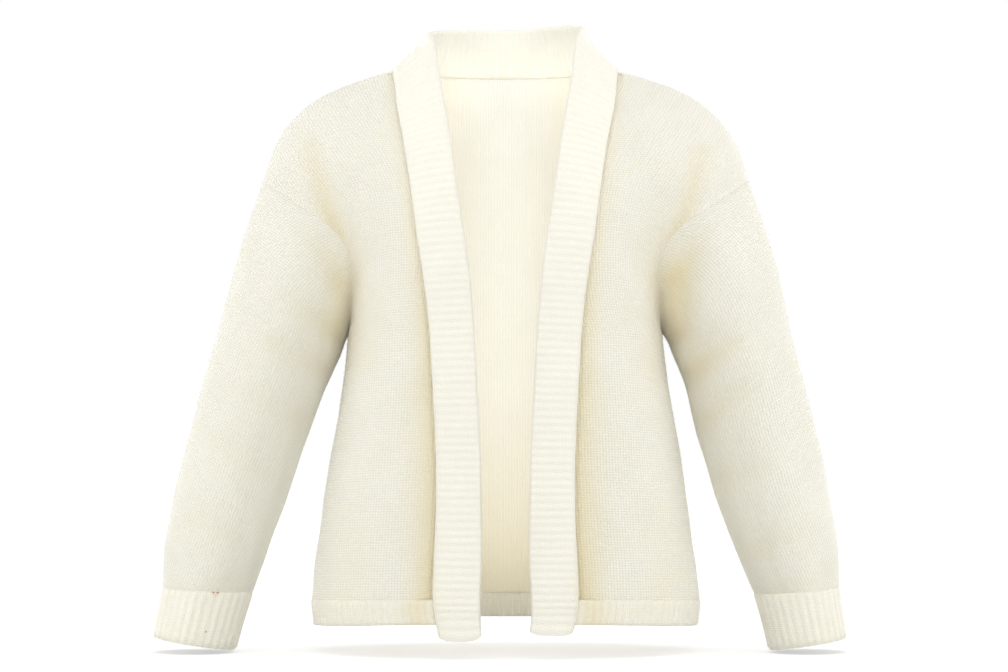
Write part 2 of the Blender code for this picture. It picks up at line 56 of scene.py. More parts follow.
# %% Sizes of the garment
MM = 0.001
SHELL = 2.6
RIB_PITCH = 8.0
BODY_ROWS = (
    # z, half width, front depth, back depth
    (-584.0, 204.5, 119.0, 106.0),
    (-558.0, 207.5, 121.0, 109.0),
    (-500.0, 200.5, 123.0, 110.0),
    (-440.0, 192.5, 126.0, 109.0),
    (-380.0, 182.5, 128.0, 107.0),
    (-320.0, 173.0, 130.0, 106.0),
    (-273.0, 167.5, 130.0, 107.0),
    (-220.0, 170.0, 128.0, 110.0),
    (-160.0, 176.0, 122.0, 112.0),
)
RING_POWER = 2.35
UNDERARM_Z = -273.0
HEM_RIB_TOP_Z = -557.0
HEM_END_Z = -584.0
FRONT_HEM_LIFT = 8.0
LOW_EDGE_ROWS = (
    # z, x of the seam between front and band
    (-594.0, 70.0),
    (-576.0, 74.0),
    (-540.0, 75.5),
    (-507.0, 74.0),
    (-425.0, 72.0),
    (-350.0, 74.5),
    (-273.0, 79.0),
)
HIGH_EDGE_ROWS = (
    # x, y, z of the same seam from the underarm's height to the neck
    (79.0, -118.0, -273.0),
    (82.5, -119.0, -238.0),
    (87.0, -117.0, -204.0),
    (92.5, -112.0, -170.0),
    (97.5, -103.0, -135.0),
    (102.5, -88.0, -100.0),
    (108.5, -66.0, -65.0),
    (115.5, -40.0, -32.0),
    (119.8, 4.0, 7.5),
)
RIGHT_BAND_END_Z = -594.0
LEFT_BAND_END_Z = -588.0
ARMHOLE_ROWS = (
    # x, y in front, y behind, z
    (167.0, 0.0, 0.0, -273.0),
    (164.5, -26.0, 24.0, -256.0),
    (163.0, -45.0, 42.0, -218.0),
    (171.0, -57.0, 54.0, -178.0),
    (190.0, -61.0, 58.0, -156.5),
    (216.0, -56.0, 54.0, -139.0),
    (240.0, -43.0, 42.0, -122.5),
    (254.0, -24.0, 24.0, -113.5),
    (259.5, 0.0, 0.0, -110.0),
)
RIDGE_HANDLES = ((259.5, 0.0, -110.0), (244.0, 1.0, -40.0), (205.0, 3.0, -12.0))
NECK_POINT = (119.8, 4.0, 7.5)
BACK_NECK = (0.0, 76.0, 4.0)
NECK_CORNER_PULL = 0.62
RIGHT_SLEEVE_ROWS = (
    # outer x, outer z, inner x, inner z, half depth, middle y
    (258.0, -110.0, 167.0, -273.0, 60.0, 0.0),
    (280.0, -174.0, 172.5, -283.0, 67.0, -1.0),
    (299.5, -241.0, 178.0, -299.0, 68.0, -3.0),
    (316.5, -302.0, 191.5, -331.0, 64.0, -6.0),
    (333.5, -366.0, 212.0, -387.0, 59.0, -9.0),
    (349.5, -430.0, 235.0, -454.0, 54.0, -12.0),
    (362.5, -494.0, 254.5, -508.0, 49.0, -15.0),
    (365.5, -543.0, 269.5, -548.0, 44.0, -17.0),
    (375.0, -596.0, 288.0, -610.0, 39.0, -19.0),
)
LEFT_SLEEVE_ROWS = (
    (261.0, -110.0, 170.0, -273.0, 60.0, 0.0),
    (282.5, -174.0, 173.5, -283.0, 67.0, -1.0),
    (298.5, -241.0, 180.0, -299.0, 68.0, -3.0),
    (313.0, -302.0, 192.0, -331.0, 64.0, -6.0),
    (328.0, -366.0, 206.0, -387.0, 59.0, -9.0),
    (342.5, -430.0, 226.5, -454.0, 54.0, -12.0),
    (354.0, -494.0, 247.0, -508.0, 49.0, -15.0),
    (355.0, -543.0, 264.0, -550.0, 44.0, -17.0),
    (363.0, -597.0, 280.0, -610.0, 39.0, -19.0),
)
CUFF_RIBS = 30
BAND_ROWS = (
    # share of the half length, inward, forward, up, bow
    (0.00, 45.0, 3.0, 1.0, 2.5),
    (0.05, 49.0, 3.5, 0.0, 3.0),
    (0.20, 47.0, 4.0, 0.0, 3.0),
    (0.40, 46.5, 5.0, 2.0, 3.0),
    (0.52, 49.0, 7.0, 4.0, 3.5),
    (0.62, 48.0, 9.0, 9.0, 3.5),
    (0.70, 48.0, 10.0, 17.0, 3.0),
    (0.75, 46.5, 8.0, 27.0, 1.0),
    (0.80, 43.0, 2.0, 37.0, -1.5),
    (0.86, 27.0, 4.0, 46.5, -1.0),
    (0.93, 9.0, 7.0, 51.5, 0.5),
    (1.00, 0.0, 7.0, 52.5, 1.0),
)
LEFT_COLLAR_RISE = 6.0
COLLAR_RISE_AT = 0.86
COLLAR_RISE_SPAN = 0.09
LOWER_ROWS = 8
UPPER_ROWS = 12
SHOULDER_COLS = 10
NECK_COLS = 5
SLEEVE_ROWS = 14
CURVE_POINTS = 400
FINE = 12
print("rows in the tables:", len(BODY_ROWS), len(ARMHOLE_ROWS), len(BAND_ROWS))

# %% [markdown]
# A smooth curve through table rows is the one tool that every shape here needs. It
# keeps the slope the same on both sides of a row, so that light runs over the cloth
# without a kink.

# %% Curves and lengths
def blend_curve(t, start, leave, end, arrive):
    """Smooth way from start to end that leaves and arrives in the given directions."""
    return ((2 * t**3 - 3 * t**2 + 1) * start + (t**3 - 2 * t**2 + t) * leave
            + (3 * t**2 - 2 * t**3) * end + (t**3 - t**2) * arrive)


def smooth_table(knots, values, at):
    """Smooth curve through table rows, read at any places along the knots."""
    knots = np.asarray(knots, float)
    values = np.asarray(values, float)
    at = np.clip(np.asarray(at, float), knots[0], knots[-1])
    steps = np.diff(knots)
    slopes = np.diff(values, axis=0) / steps[:, None]
    tangents = np.empty_like(values)
    tangents[0] = slopes[0]
    tangents[-1] = slopes[-1]
    before = steps[:-1, None]
    after = steps[1:, None]
    tangents[1:-1] = (slopes[:-1] * after + slopes[1:] * before) / (before + after)
    span = np.clip(np.searchsorted(knots, at, side="right") - 1, 0, len(steps) - 1)
    width = steps[span][:, None]
    t = ((at - knots[span]) / steps[span])[:, None]
    return blend_curve(t, values[span], width * tangents[span],
                       values[span + 1], width * tangents[span + 1])


def lengths_along(points):
    """Distance from the first point to each point of a line."""
    steps = np.linalg.norm(np.diff(points, axis=0), axis=1)
    return np.concatenate([[0.0], np.cumsum(steps)])


def even_points(points, count):
    """A line divided into equal lengths."""
    reach = lengths_along(points)
    places = np.linspace(0.0, reach[-1], count + 1)
    return np.stack([np.interp(places, reach, column) for column in points.T], axis=1)


def even_curve(rows, count):
    """A smooth curve through points, divided into equal lengths."""
    rows = np.asarray(rows, float)
    knots = lengths_along(rows)
    fine = smooth_table(knots, rows, np.linspace(0.0, knots[-1], CURVE_POINTS))
    return even_points(fine, count)


def cubic_curve(start, first, second, end):
    """A curve from two end points and two handles."""
    t = np.linspace(0.0, 1.0, CURVE_POINTS)[:, None]
    start, first, second, end = (np.asarray(p, float) for p in (start, first, second, end))
    return ((1 - t)**3 * start + 3 * (1 - t)**2 * t * first
            + 3 * (1 - t) * t**2 * second + t**3 * end)


def unit(vectors):
    """Vectors made one unit long."""
    size = np.linalg.norm(vectors, axis=-1, keepdims=True)
    return vectors / np.maximum(size, 1e-9)


def evened_line(values):
    """Values mixed with their neighbours along the first axis. The ends stay."""
    inside = 0.25 * values[:-2] + 0.5 * values[1:-1] + 0.25 * values[2:]
    return np.concatenate([values[:1], inside, values[-1:]])


def fade(distance, width):
    """A soft bell: 1 at no distance, and close to 0 at twice the width."""
    return np.exp(-(distance / width)**2)


print("a body ring is read at any height, such as", smooth_table(*zip(*[
    (row[0], row[1:]) for row in BODY_ROWS]), [-400.0]).round(1))

# %% [markdown]
# The fronts and the back start as rings round a general figure. Each ring is a
# rounded oval, cut where the band is sewn on. Above the underarm the same columns
# run up over the yoke to the shoulder seam and the back neck, and their ends are
# drawn to the armhole and to the front edge.

# %% Body panels
SLOPE_STEP = 10.0
LEAVE_PULL = 1.35
ARRIVE_PULL = 1.45
NECK_BLEND = 6.0
NECK_BACK = 60.0
NECK_RISE = 210.0
ARMHOLE_PULL = 1.25
FRONT_EDGE_PULL = 1.6
YOKE_EVENING = 44


def body_row(z, front, fine=1):
    """Even grid points on a body ring for the +X side."""
    rows = np.asarray(BODY_ROWS)
    half_width, front_depth, back_depth = smooth_table(rows[:, 0], rows[:, 1:], [z])[0]
    depth = -front_depth if front else back_depth
    turn = np.linspace(0.0, math.pi / 2, CURVE_POINTS)
    x = half_width * np.cos(turn)**(2 / RING_POWER)
    y = depth * np.sin(turn)**(2 / RING_POWER)
    if not front:
        line = np.stack([x, y, np.full_like(x, z)], axis=1)
        return even_points(line, (SHOULDER_COLS + NECK_COLS) * fine)
    share = (z - UNDERARM_Z) / (HEM_END_Z - UNDERARM_Z)
    lift = FRONT_HEM_LIFT * max(0.0, share)**2
    line = np.stack([x, y, z + lift * (y / depth)**2], axis=1)
    edges = np.asarray(LOW_EDGE_ROWS)
    stop_x = smooth_table(edges[:, 0], edges[:, 1:], [z])[0][0]
    end = [np.interp(-stop_x, -x, column) for column in line.T]
    return even_points(np.vstack([line[x >= stop_x - 1e-9], end]), SHOULDER_COLS * fine)


def neck_line(fine=1):
    """Back neck seam from the shoulder to the middle, for the +X side."""
    point = np.asarray(NECK_POINT)
    middle = np.asarray(BACK_NECK)
    corner = np.array([point[0], middle[1], 0.5 * (point[2] + middle[2])])
    first = point + NECK_CORNER_PULL * (corner - point)
    second = middle + NECK_CORNER_PULL * (corner - middle)
    first[2] = point[2]
    second[2] = middle[2]
    return even_points(cubic_curve(point, first, second, middle), NECK_COLS * fine)


def armhole_line(front):
    """Armhole seam from the underarm to the dropped shoulder point."""
    rows = np.asarray(ARMHOLE_ROWS)
    return even_curve(rows[:, [0, 1 if front else 2, 3]], UPPER_ROWS)


def panel_grid(front):
    """Outer points of half a body panel on the +X side, rows from the hem up."""
    heights = np.linspace(HEM_RIB_TOP_Z, UNDERARM_Z, LOWER_ROWS + 1)
    rows = [body_row(z, front) for z in heights]
    rows[-1][0] = (ARMHOLE_ROWS[0][0], 0.0, UNDERARM_Z)
    bottom = body_row(UNDERARM_Z, front, FINE)
    below = body_row(UNDERARM_Z - SLOPE_STEP, front, FINE)
    top = even_points(cubic_curve(*RIDGE_HANDLES, NECK_POINT), SHOULDER_COLS * FINE)
    if not front:
        top = np.vstack([top, neck_line(FINE)[1:]])
    cols = (len(top) - 1) // FINE
    leave = (bottom - below) / SLOPE_STEP * (top[:, 2] - bottom[:, 2])[:, None] * LEAVE_PULL
    reach = np.abs(top[:, 1] - bottom[:, 1])
    arrive = np.zeros_like(top)
    arrive[:, 1] = (1.0 if front else -1.0) * ARRIVE_PULL * reach
    if not front:
        past = np.arange(len(top)) / FINE - SHOULDER_COLS + NECK_BLEND / 2
        share = np.clip(past / NECK_BLEND, 0.0, 1.0)
        share = share * share * (3 - 2 * share)
        arrive[:, 1] = -ARRIVE_PULL * ((1 - share) * reach + share * NECK_BACK)
        arrive[:, 2] = share * NECK_RISE
    side = armhole_line(front)
    inner = even_curve(HIGH_EDGE_ROWS, UPPER_ROWS) if front else None
    u = np.linspace(0.0, 1.0, cols + 1)[:, None]
    numbers = np.arange(len(top))
    for step in range(1, UPPER_ROWS + 1):
        t = step / UPPER_ROWS
        full = blend_curve(t, bottom, leave, top, arrive)
        start = np.argmin(np.linalg.norm(full[:len(full) // 2] - side[step], axis=1))
        if step == UPPER_ROWS:
            start = 0
        places = np.linspace(start, len(full) - 1, cols + 1)
        row = np.stack([np.interp(places, numbers, column) for column in full.T], axis=1)
        row = row + (1 - u)**ARMHOLE_PULL * (side[step] - row[0])
        if front:
            row = row + u**FRONT_EDGE_PULL * (inner[step] - row[-1])
        for _ in range(round(YOKE_EVENING * t * t * (1 - t))):
            row = evened_line(row)
            if not front:
                row[-1, 1:] = 0.5 * row[-1, 1:] + 0.5 * row[-2, 1:]
        rows.append(row)
    return np.array(rows)


def mirrored(grid):
    """The same grid on the other side."""
    return (grid * np.array([-1.0, 1.0, 1.0]))[:, ::-1]


left_front_form = panel_grid(True)
half_back_form = panel_grid(False)
right_front_form = mirrored(left_front_form)
back_form = np.concatenate([half_back_form, mirrored(half_back_form)[:, 1:]], axis=1)
print("front grid", left_front_form.shape[:2], "back grid", back_form.shape[:2])

# %% [markdown]
# A sleeve is a tube of rings. The first ring is the armhole seam itself, and the
# rest are ovals set across the arm, so that the tube hangs down and a little
# forward as an arm does.

# %% Sleeves and cuffs
def sleeve_grid(table, side):
    """Rings of a sleeve and of its cuff, for one side."""
    loop = np.vstack([armhole_line(True)[::-1], armhole_line(False)[1:-1]])
    turn = np.linspace(0.0, 2 * math.pi, len(loop), endpoint=False)
    rings = [loop]
    for outer_x, outer_z, inner_x, inner_z, half_depth, mid_y in table[1:]:
        middle = np.array([(outer_x + inner_x) / 2, mid_y, (outer_z + inner_z) / 2])
        out = np.array([(outer_x - inner_x) / 2, 0.0, (outer_z - inner_z) / 2])
        depth = np.array([0.0, half_depth, 0.0])
        rings.append(middle + np.cos(turn)[:, None] * out - np.sin(turn)[:, None] * depth)
    rings = np.array(rings)
    flat = rings.reshape(len(rings), -1)
    knots = np.arange(len(rings))
    cuff_start = len(rings) - 2.0
    sleeve = smooth_table(knots, flat, np.linspace(0.0, cuff_start, SLEEVE_ROWS + 1))
    cuff = smooth_table(knots, flat, np.linspace(cuff_start, cuff_start + 1.0, 5))
    flip = np.array([side, 1.0, 1.0])
    return sleeve.reshape(-1, len(loop), 3) * flip, cuff.reshape(-1, len(loop), 3) * flip


right_sleeve_form, right_cuff_form = sleeve_grid(RIGHT_SLEEVE_ROWS, -1.0)
left_sleeve_form, left_cuff_form = sleeve_grid(LEFT_SLEEVE_ROWS, 1.0)
print("sleeve grid", right_sleeve_form.shape[:2], "cuff grid", right_cuff_form.shape[:2])

# %% [markdown]
# Each coarse form is then read on a much finer grid. Extra lines close to the
# borders leave room for the small groove or lift at a sewn seam. The directions
# square to the cloth come from the fine grid, evened out a little.

# %% Finer grids
EDGE_LINES = (0.04, 0.1, 0.2, 0.34)


def fine_places(count, per_cell, ends=(True, True)):
    """Places on a grid of count cells, with extra lines near the ends that are sewn."""
    places = list(np.linspace(0.0, count, count * per_cell + 1))
    if ends[0]:
        places += list(EDGE_LINES)
    if ends[1]:
        places += [count - line for line in EDGE_LINES]
    return np.array(sorted(set(np.round(places, 6))))


def finer(grid, row_places, col_places, closed=False):
    """The same form read at other rows and columns."""
    flat = grid.reshape(len(grid), -1)
    tall = smooth_table(np.arange(len(grid)), flat, row_places)
    tall = tall.reshape(len(row_places), grid.shape[1], 3).transpose(1, 0, 2)
    pad = 3 if closed else 0
    if closed:
        tall = np.concatenate([tall[-pad:], tall, tall[:pad]])
    knots = np.arange(len(tall)) - pad
    wide = smooth_table(knots, tall.reshape(len(tall), -1), col_places)
    return wide.reshape(len(col_places), len(row_places), 3).transpose(1, 0, 2)


def evened(values, passes, closed=False):
    """Values on a grid evened out both ways, with the borders kept in place."""
    for _ in range(passes):
        if closed:
            values = 0.25 * np.roll(values, 1, 1) + 0.5 * values + 0.25 * np.roll(values, -1, 1)
        else:
            values = evened_line(values.swapaxes(0, 1)).swapaxes(0, 1)
        values = evened_line(values)
    return values


def outward(grid, middle, closed=False):
    """Directions square to a grid, pointing away from a middle point."""
    if closed:
        across = np.roll(grid, -1, axis=1) - np.roll(grid, 1, axis=1)
    else:
        across = np.gradient(grid, axis=1)
    found = unit(np.cross(across, np.gradient(grid, axis=0)))
    if np.sum(found * (grid - middle)) < 0:
        found = -found
    return unit(evened(found, 4, closed))


print("a row of 10 cells is read at", len(fine_places(10, 5)), "places")

# %% [markdown]
# Cloth that is worn is never quite even. Soft troughs run from the underarm, the
# cloth dips where the heavy band is sewn on, and the whole surface swells a little
# here and there. Each trough is one row: where it starts and ends as seen from the
# front, how wide and how deep it is, and which side of the garment it is on.

# %% Troughs, dips and swells
TROUGH_ROWS = (
    # side, x1, z1, x2, z2, width, depth; side -1 is the front and 1 the back
    (-1, -180, -172, -208, -76, 11, 5.4),
    (-1, 183, -172, 207, -84, 11, 5),
    (-1, -172, -236, -146, -190, 14, 1.1),
    (-1, 168, -240, 136, -182, 14, 1.2),
    (-1, -158, -300, -126, -232, 17, 1),
    (-1, 160, -318, 130, -250, 16, 1.1),
    (-1, -88, -560, -92, -330, 15, 2.6),
    (-1, 90, -566, 92, -330, 17, 3.4),
    (-1, -168, -560, -158, -480, 18, 1.1),
    (-1, 172, -560, 160, -465, 19, 1.2),
    (1, -150, -265, -96, -190, 16, 1.8),
    (1, 152, -262, 104, -182, 15, 1.6),
    (1, -96, -560, -84, -380, 22, 2),
    (1, 88, -560, 92, -410, 20, 1.8),
    (1, 10, -560, 4, -440, 24, 1.6),
)
SLEEVE_TROUGH_ROWS = (
    (-1, -178, -222, -200, -176, 11, 2.2),
    (-1, -184, -268, -226, -236, 13, 2.6),
    (-1, -188, -312, -246, -286, 14, 2.2),
    (-1, -214, -364, -262, -338, 13, 1.5),
    (-1, -300, -392, -258, -420, 14, 1.2),
    (-1, -330, -470, -286, -492, 13, 1.1),
    (-1, -292, -540, -330, -556, 13, 1.2),
    (-1, 176, -216, 206, -170, 12, 2.8),
    (-1, 182, -272, 196, -196, 13, 3.6),
    (-1, 188, -322, 236, -286, 14, 4),
    (-1, 206, -366, 250, -332, 14, 2.6),
    (-1, 226, -430, 274, -410, 13, 1.3),
    (-1, 262, -506, 312, -484, 13, 1.4),
    (-1, 286, -548, 336, -530, 13, 1.4),
    (1, -190, -268, -250, -240, 12, 2.2),
    (1, -206, -330, -262, -306, 13, 1.8),
    (1, -236, -410, -300, -384, 14, 1.5),
    (1, 192, -262, 246, -236, 12, 2.4),
    (1, 204, -336, 256, -306, 13, 2),
    (1, 240, -430, 296, -402, 14, 1.4),
)
SWELLS = (
    # wave length in x, y and z, start, height
    (150.0, 170.0, 210.0, 0.3, 0.7),
    (88.0, 110.0, 125.0, 1.9, 0.5),
    (52.0, 61.0, 70.0, 4.0, 0.25),
)
SWELL_BEND = 0.7
SWELL_BEND_TURN = 3.1
FACING_MIDDLE = 12.0
FACING_SPAN = 24.0
FACING_SHARE = 0.2
TROUGH_TAPER = 0.55


def swells(grid):
    """Gentle unevenness of hanging cloth, the same for pieces that meet."""
    total = np.zeros(grid.shape[:2])
    for wide, deep, tall, start, height in SWELLS:
        turn = 2 * math.pi
        bend = SWELL_BEND * np.sin(grid[..., 2] / tall * SWELL_BEND_TURN)
        wave = np.sin(grid[..., 0] / wide * turn + bend + start)
        wave *= np.sin(grid[..., 2] / tall * turn + grid[..., 1] / deep * turn + 2 * start)
        total += height * wave
    return total


def troughs(grid, rows):
    """How deep the listed troughs are at each point of a grid."""
    total = np.zeros(grid.shape[:2])
    for side, x1, z1, x2, z2, width, depth in rows:
        start = np.array([x1, z1])
        way = np.array([x2, z2]) - start
        seen = grid[..., [0, 2]] - start
        share = np.clip(seen @ way / (way @ way), 0.0, 1.0)
        away = np.linalg.norm(seen - share[..., None] * way, axis=-1)
        facing = side * (grid[..., 1] + FACING_MIDDLE) / FACING_SPAN + FACING_SHARE
        taper = 1.0 - TROUGH_TAPER * share
        total += depth * taper * np.clip(facing, 0.0, 1.0) * fade(away, width)
    return total


print("troughs:", len(TROUGH_ROWS), "on the body and", len(SLEEVE_TROUGH_ROWS), "on the sleeves")

# %% [markdown]
# Every piece becomes one closed, thin shell: an outer face, an inner face and the
# rims between them. Its UV map is in metres along and across the cloth, so that
# stitches follow the piece however it bends. Each point also keeps how much painted
# shade it gets in folds and other shaded places, which the wool colours use. Building
# the faces in code is the plain way for cloth whose points come from a pattern.

# %% Sewing a shell
def surface_lengths(grid, axis):
    """Distance along the cloth from its first row or column to each point."""
    steps = np.linalg.norm(np.diff(grid, axis=axis), axis=-1)
    start = np.zeros_like(np.take(steps, [0], axis=axis))
    return np.concatenate([start, np.cumsum(steps, axis=axis)], axis=axis) * MM


def grid_faces(rows, cols, closed):
    """Corner numbers of the cells of a grid, and the grid places that they map to."""
    last = cols if closed else cols - 1
    i, j = np.meshgrid(np.arange(rows - 1), np.arange(last), indexing="ij")
    n = (j + 1) % cols
    corners = np.stack([i * cols + j, i * cols + n, (i + 1) * cols + n, (i + 1) * cols + j], -1)
    wide = cols + 1 if closed else cols
    places = np.stack([i * wide + j, i * wide + j + 1,
                       (i + 1) * wide + j + 1, (i + 1) * wide + j], -1)
    return corners.reshape(-1, 4), places.reshape(-1, 4)


def sew_shell(name, outer, inner, closed, materials, painted_shade, inner_painted_shade):
    """One closed shell of cloth from its outer and inner points, in millimetres.

    The two shade shares say how much painted shade, darker and warmer, each point of the outer
    and the inner face gets, from 0 to 1.
    """
    rows, cols = outer.shape[:2]
    count = rows * cols
    wrapped = np.concatenate([outer, outer[:, :1]], axis=1) if closed else outer
    u = surface_lengths(wrapped, 1)
    v = surface_lengths(wrapped, 0)
    uv = np.stack([u - u.mean(axis=1, keepdims=True), v], axis=-1).reshape(-1, 2)
    corners, places = grid_faces(rows, cols, closed)
    wide = wrapped.shape[1]
    faces = [corners, corners[:, ::-1] + count]
    maps = [places, places[:, ::-1]]
    for row in (0, rows - 1):
        a = row * cols + np.arange(cols if closed else cols - 1)
        b = row * cols + (np.arange(len(a)) + 1) % cols
        p = row * wide + np.arange(len(a))
        rim = np.stack([b, a, a + count, b + count], -1)
        rim_map = np.stack([p + 1, p, p, p + 1], -1)
        faces.append(rim if row == 0 else rim[:, ::-1])
        maps.append(rim_map if row == 0 else rim_map[:, ::-1])
    if not closed:
        for col in (0, cols - 1):
            a = np.arange(rows - 1) * cols + col
            p = np.arange(rows - 1) * wide + col
            rim = np.stack([a, a + cols, a + cols + count, a + count], -1)
            rim_map = np.stack([p, p + wide, p + wide, p], -1)
            faces.append(rim if col == 0 else rim[:, ::-1])
            maps.append(rim_map if col == 0 else rim_map[:, ::-1])
    all_faces = np.concatenate(faces)
    points = np.vstack([outer.reshape(-1, 3), inner.reshape(-1, 3)]) * MM
    a, b, c, d = (points[all_faces[:, k]] for k in range(4))
    volume = np.sum(a * np.cross(b, c)) + np.sum(a * np.cross(c, d))
    all_maps = np.concatenate(maps)
    if volume < 0:
        all_faces = all_faces[:, ::-1]
        all_maps = all_maps[:, ::-1]
    mesh = bpy.data.meshes.new(name)
    mesh.from_pydata(points.tolist(), [], all_faces.tolist())
    layer = mesh.uv_layers.new(name="ClothUV")
    layer.data.foreach_set("uv", uv[all_maps.reshape(-1)].astype(np.float32).reshape(-1))
    shade = mesh.attributes.new("PaintedShade", "FLOAT", "POINT")
    shade.data.foreach_set("value", np.concatenate([painted_shade.reshape(-1), inner_painted_shade.reshape(-1)]))
    for found in materials:
        mesh.materials.append(found)
    side = np.zeros(len(all_faces), np.int32)
    side[len(corners):2 * len(corners)] = 1
    mesh.polygons.foreach_set("material_index", side)
    mesh.polygons.foreach_set("use_smooth", np.ones(len(all_faces), bool))
    mesh.set_sharp_from_angle(angle=math.radians(60))
    mesh.update()
    piece = bpy.data.objects.new(name, mesh)
    bpy.context.scene.collection.objects.link(piece)
    return piece


def shades(grid, rows):
    """How much painted shade the listed spots give each point of a grid."""
    total = np.zeros(grid.shape[:2])
    for place, size, strength in rows:
        off = np.linalg.norm((grid - np.array(place)) / np.array(size), axis=-1)
        total += strength * fade(off, 1.0)
    return total


print("a 3 by 3 grid has", len(grid_faces(3, 3, False)[0]), "cells")

# %% [markdown]
# Colours are given as the hex values that a paint chart would use, and turned into
# the linear values that shaders need. One helper adds a shader node with its
# settings and links, three more add the kinds that come up most, and the rest of
# each material is a short list of such nodes.

# %% Colour and node helpers
def linear(hex_colour):
    """An sRGB hex colour as linear RGBA."""
    parts = [int(hex_colour[k:k + 2], 16) / 255 for k in (1, 3, 5)]
    return [p / 12.92 if p <= 0.04045 else ((p + 0.055) / 1.055)**2.4 for p in parts] + [1.0]


def add_node(tree, kind, inputs=None, **settings):
    """Add one node. An input given as a socket is linked, any other value is set."""
    node = tree.nodes.new(kind)
    for key, value in settings.items():
        setattr(node, key, value)
    for socket, value in (inputs or {}).items():
        if isinstance(value, bpy.types.NodeSocket):
            tree.links.new(value, node.inputs[socket])
        else:
            node.inputs[socket].default_value = value
    return node


def add_math(tree, operation, *values, **settings):
    """The output of one maths node."""
    return add_node(tree, "ShaderNodeMath", dict(enumerate(values)), operation=operation,
                    **settings).outputs[0]


def add_vectors(tree, operation, inputs):
    """The outputs of one vector maths node: first a vector, then a number."""
    return add_node(tree, "ShaderNodeVectorMath", inputs, operation=operation).outputs


def add_mix(tree, share, first, second):
    """A colour that goes from the first to the second as the share grows."""
    return add_node(tree, "ShaderNodeMix", {0: share, 6: first, 7: second},
                    data_type="RGBA").outputs[2]


print("cream wool is", [round(part, 3) for part in linear("#F3EEDD")])

# %% [markdown]
# The outside of the fronts, back and sleeves is a fine knit worn a little fuzzy, so
# it reads as small soft bumps and not as clean stitches. The inside shows the other
# face of the same knit: narrow upright wales. Both are cream wool. Their stitch
# hollows are painted a darker shade, and folds a warmer, darker one, where light
# bounces from loop to loop; a faint cloud of tone is the wool's own.

# %% Wool materials
# Painted shade: the hollow colours darken the stitch hollows, and the fold colour darkens folds
# and troughs to a warm cream.
WOOL_LIGHT = "#F8F6EC"
WOOL_HOLLOW_SHADE = "#E8E3CE"
WOOL_FOLD_SHADE = "#EADCB0"
INSIDE_LIGHT = "#FBFAF3"
INSIDE_HOLLOW_SHADE = "#F2F0E5"
RIB_LIGHT = "#F8F6EC"
RIB_HOLLOW_SHADE = "#F1EEE0"
STITCH_WIDE = 3.3
STITCH_TALL = 2.7
WALE = 3.1
COURSE = 2.3
RIB_STITCH = 2.7
WOOL_SURFACE = {"Roughness": 0.92, "Specular IOR Level": 0.2, "Sheen Weight": 0.5,
                "Sheen Roughness": 0.6}
WANDER_SCALE = 260.0
WANDER = 0.0024
WALE_LEAN = 1.3
LOOP_HEIGHT = 0.7
WALE_HEIGHT = 1.5
FUZZ_SCALE = 900.0
FUZZ_HEIGHT = 0.9
HOLLOW_LEVEL = 0.45
RIDGE_LEVEL = 1.35
CLOUD_SCALE = 22.0
CLOUD = 0.35
SPOT_CORE = 0.35


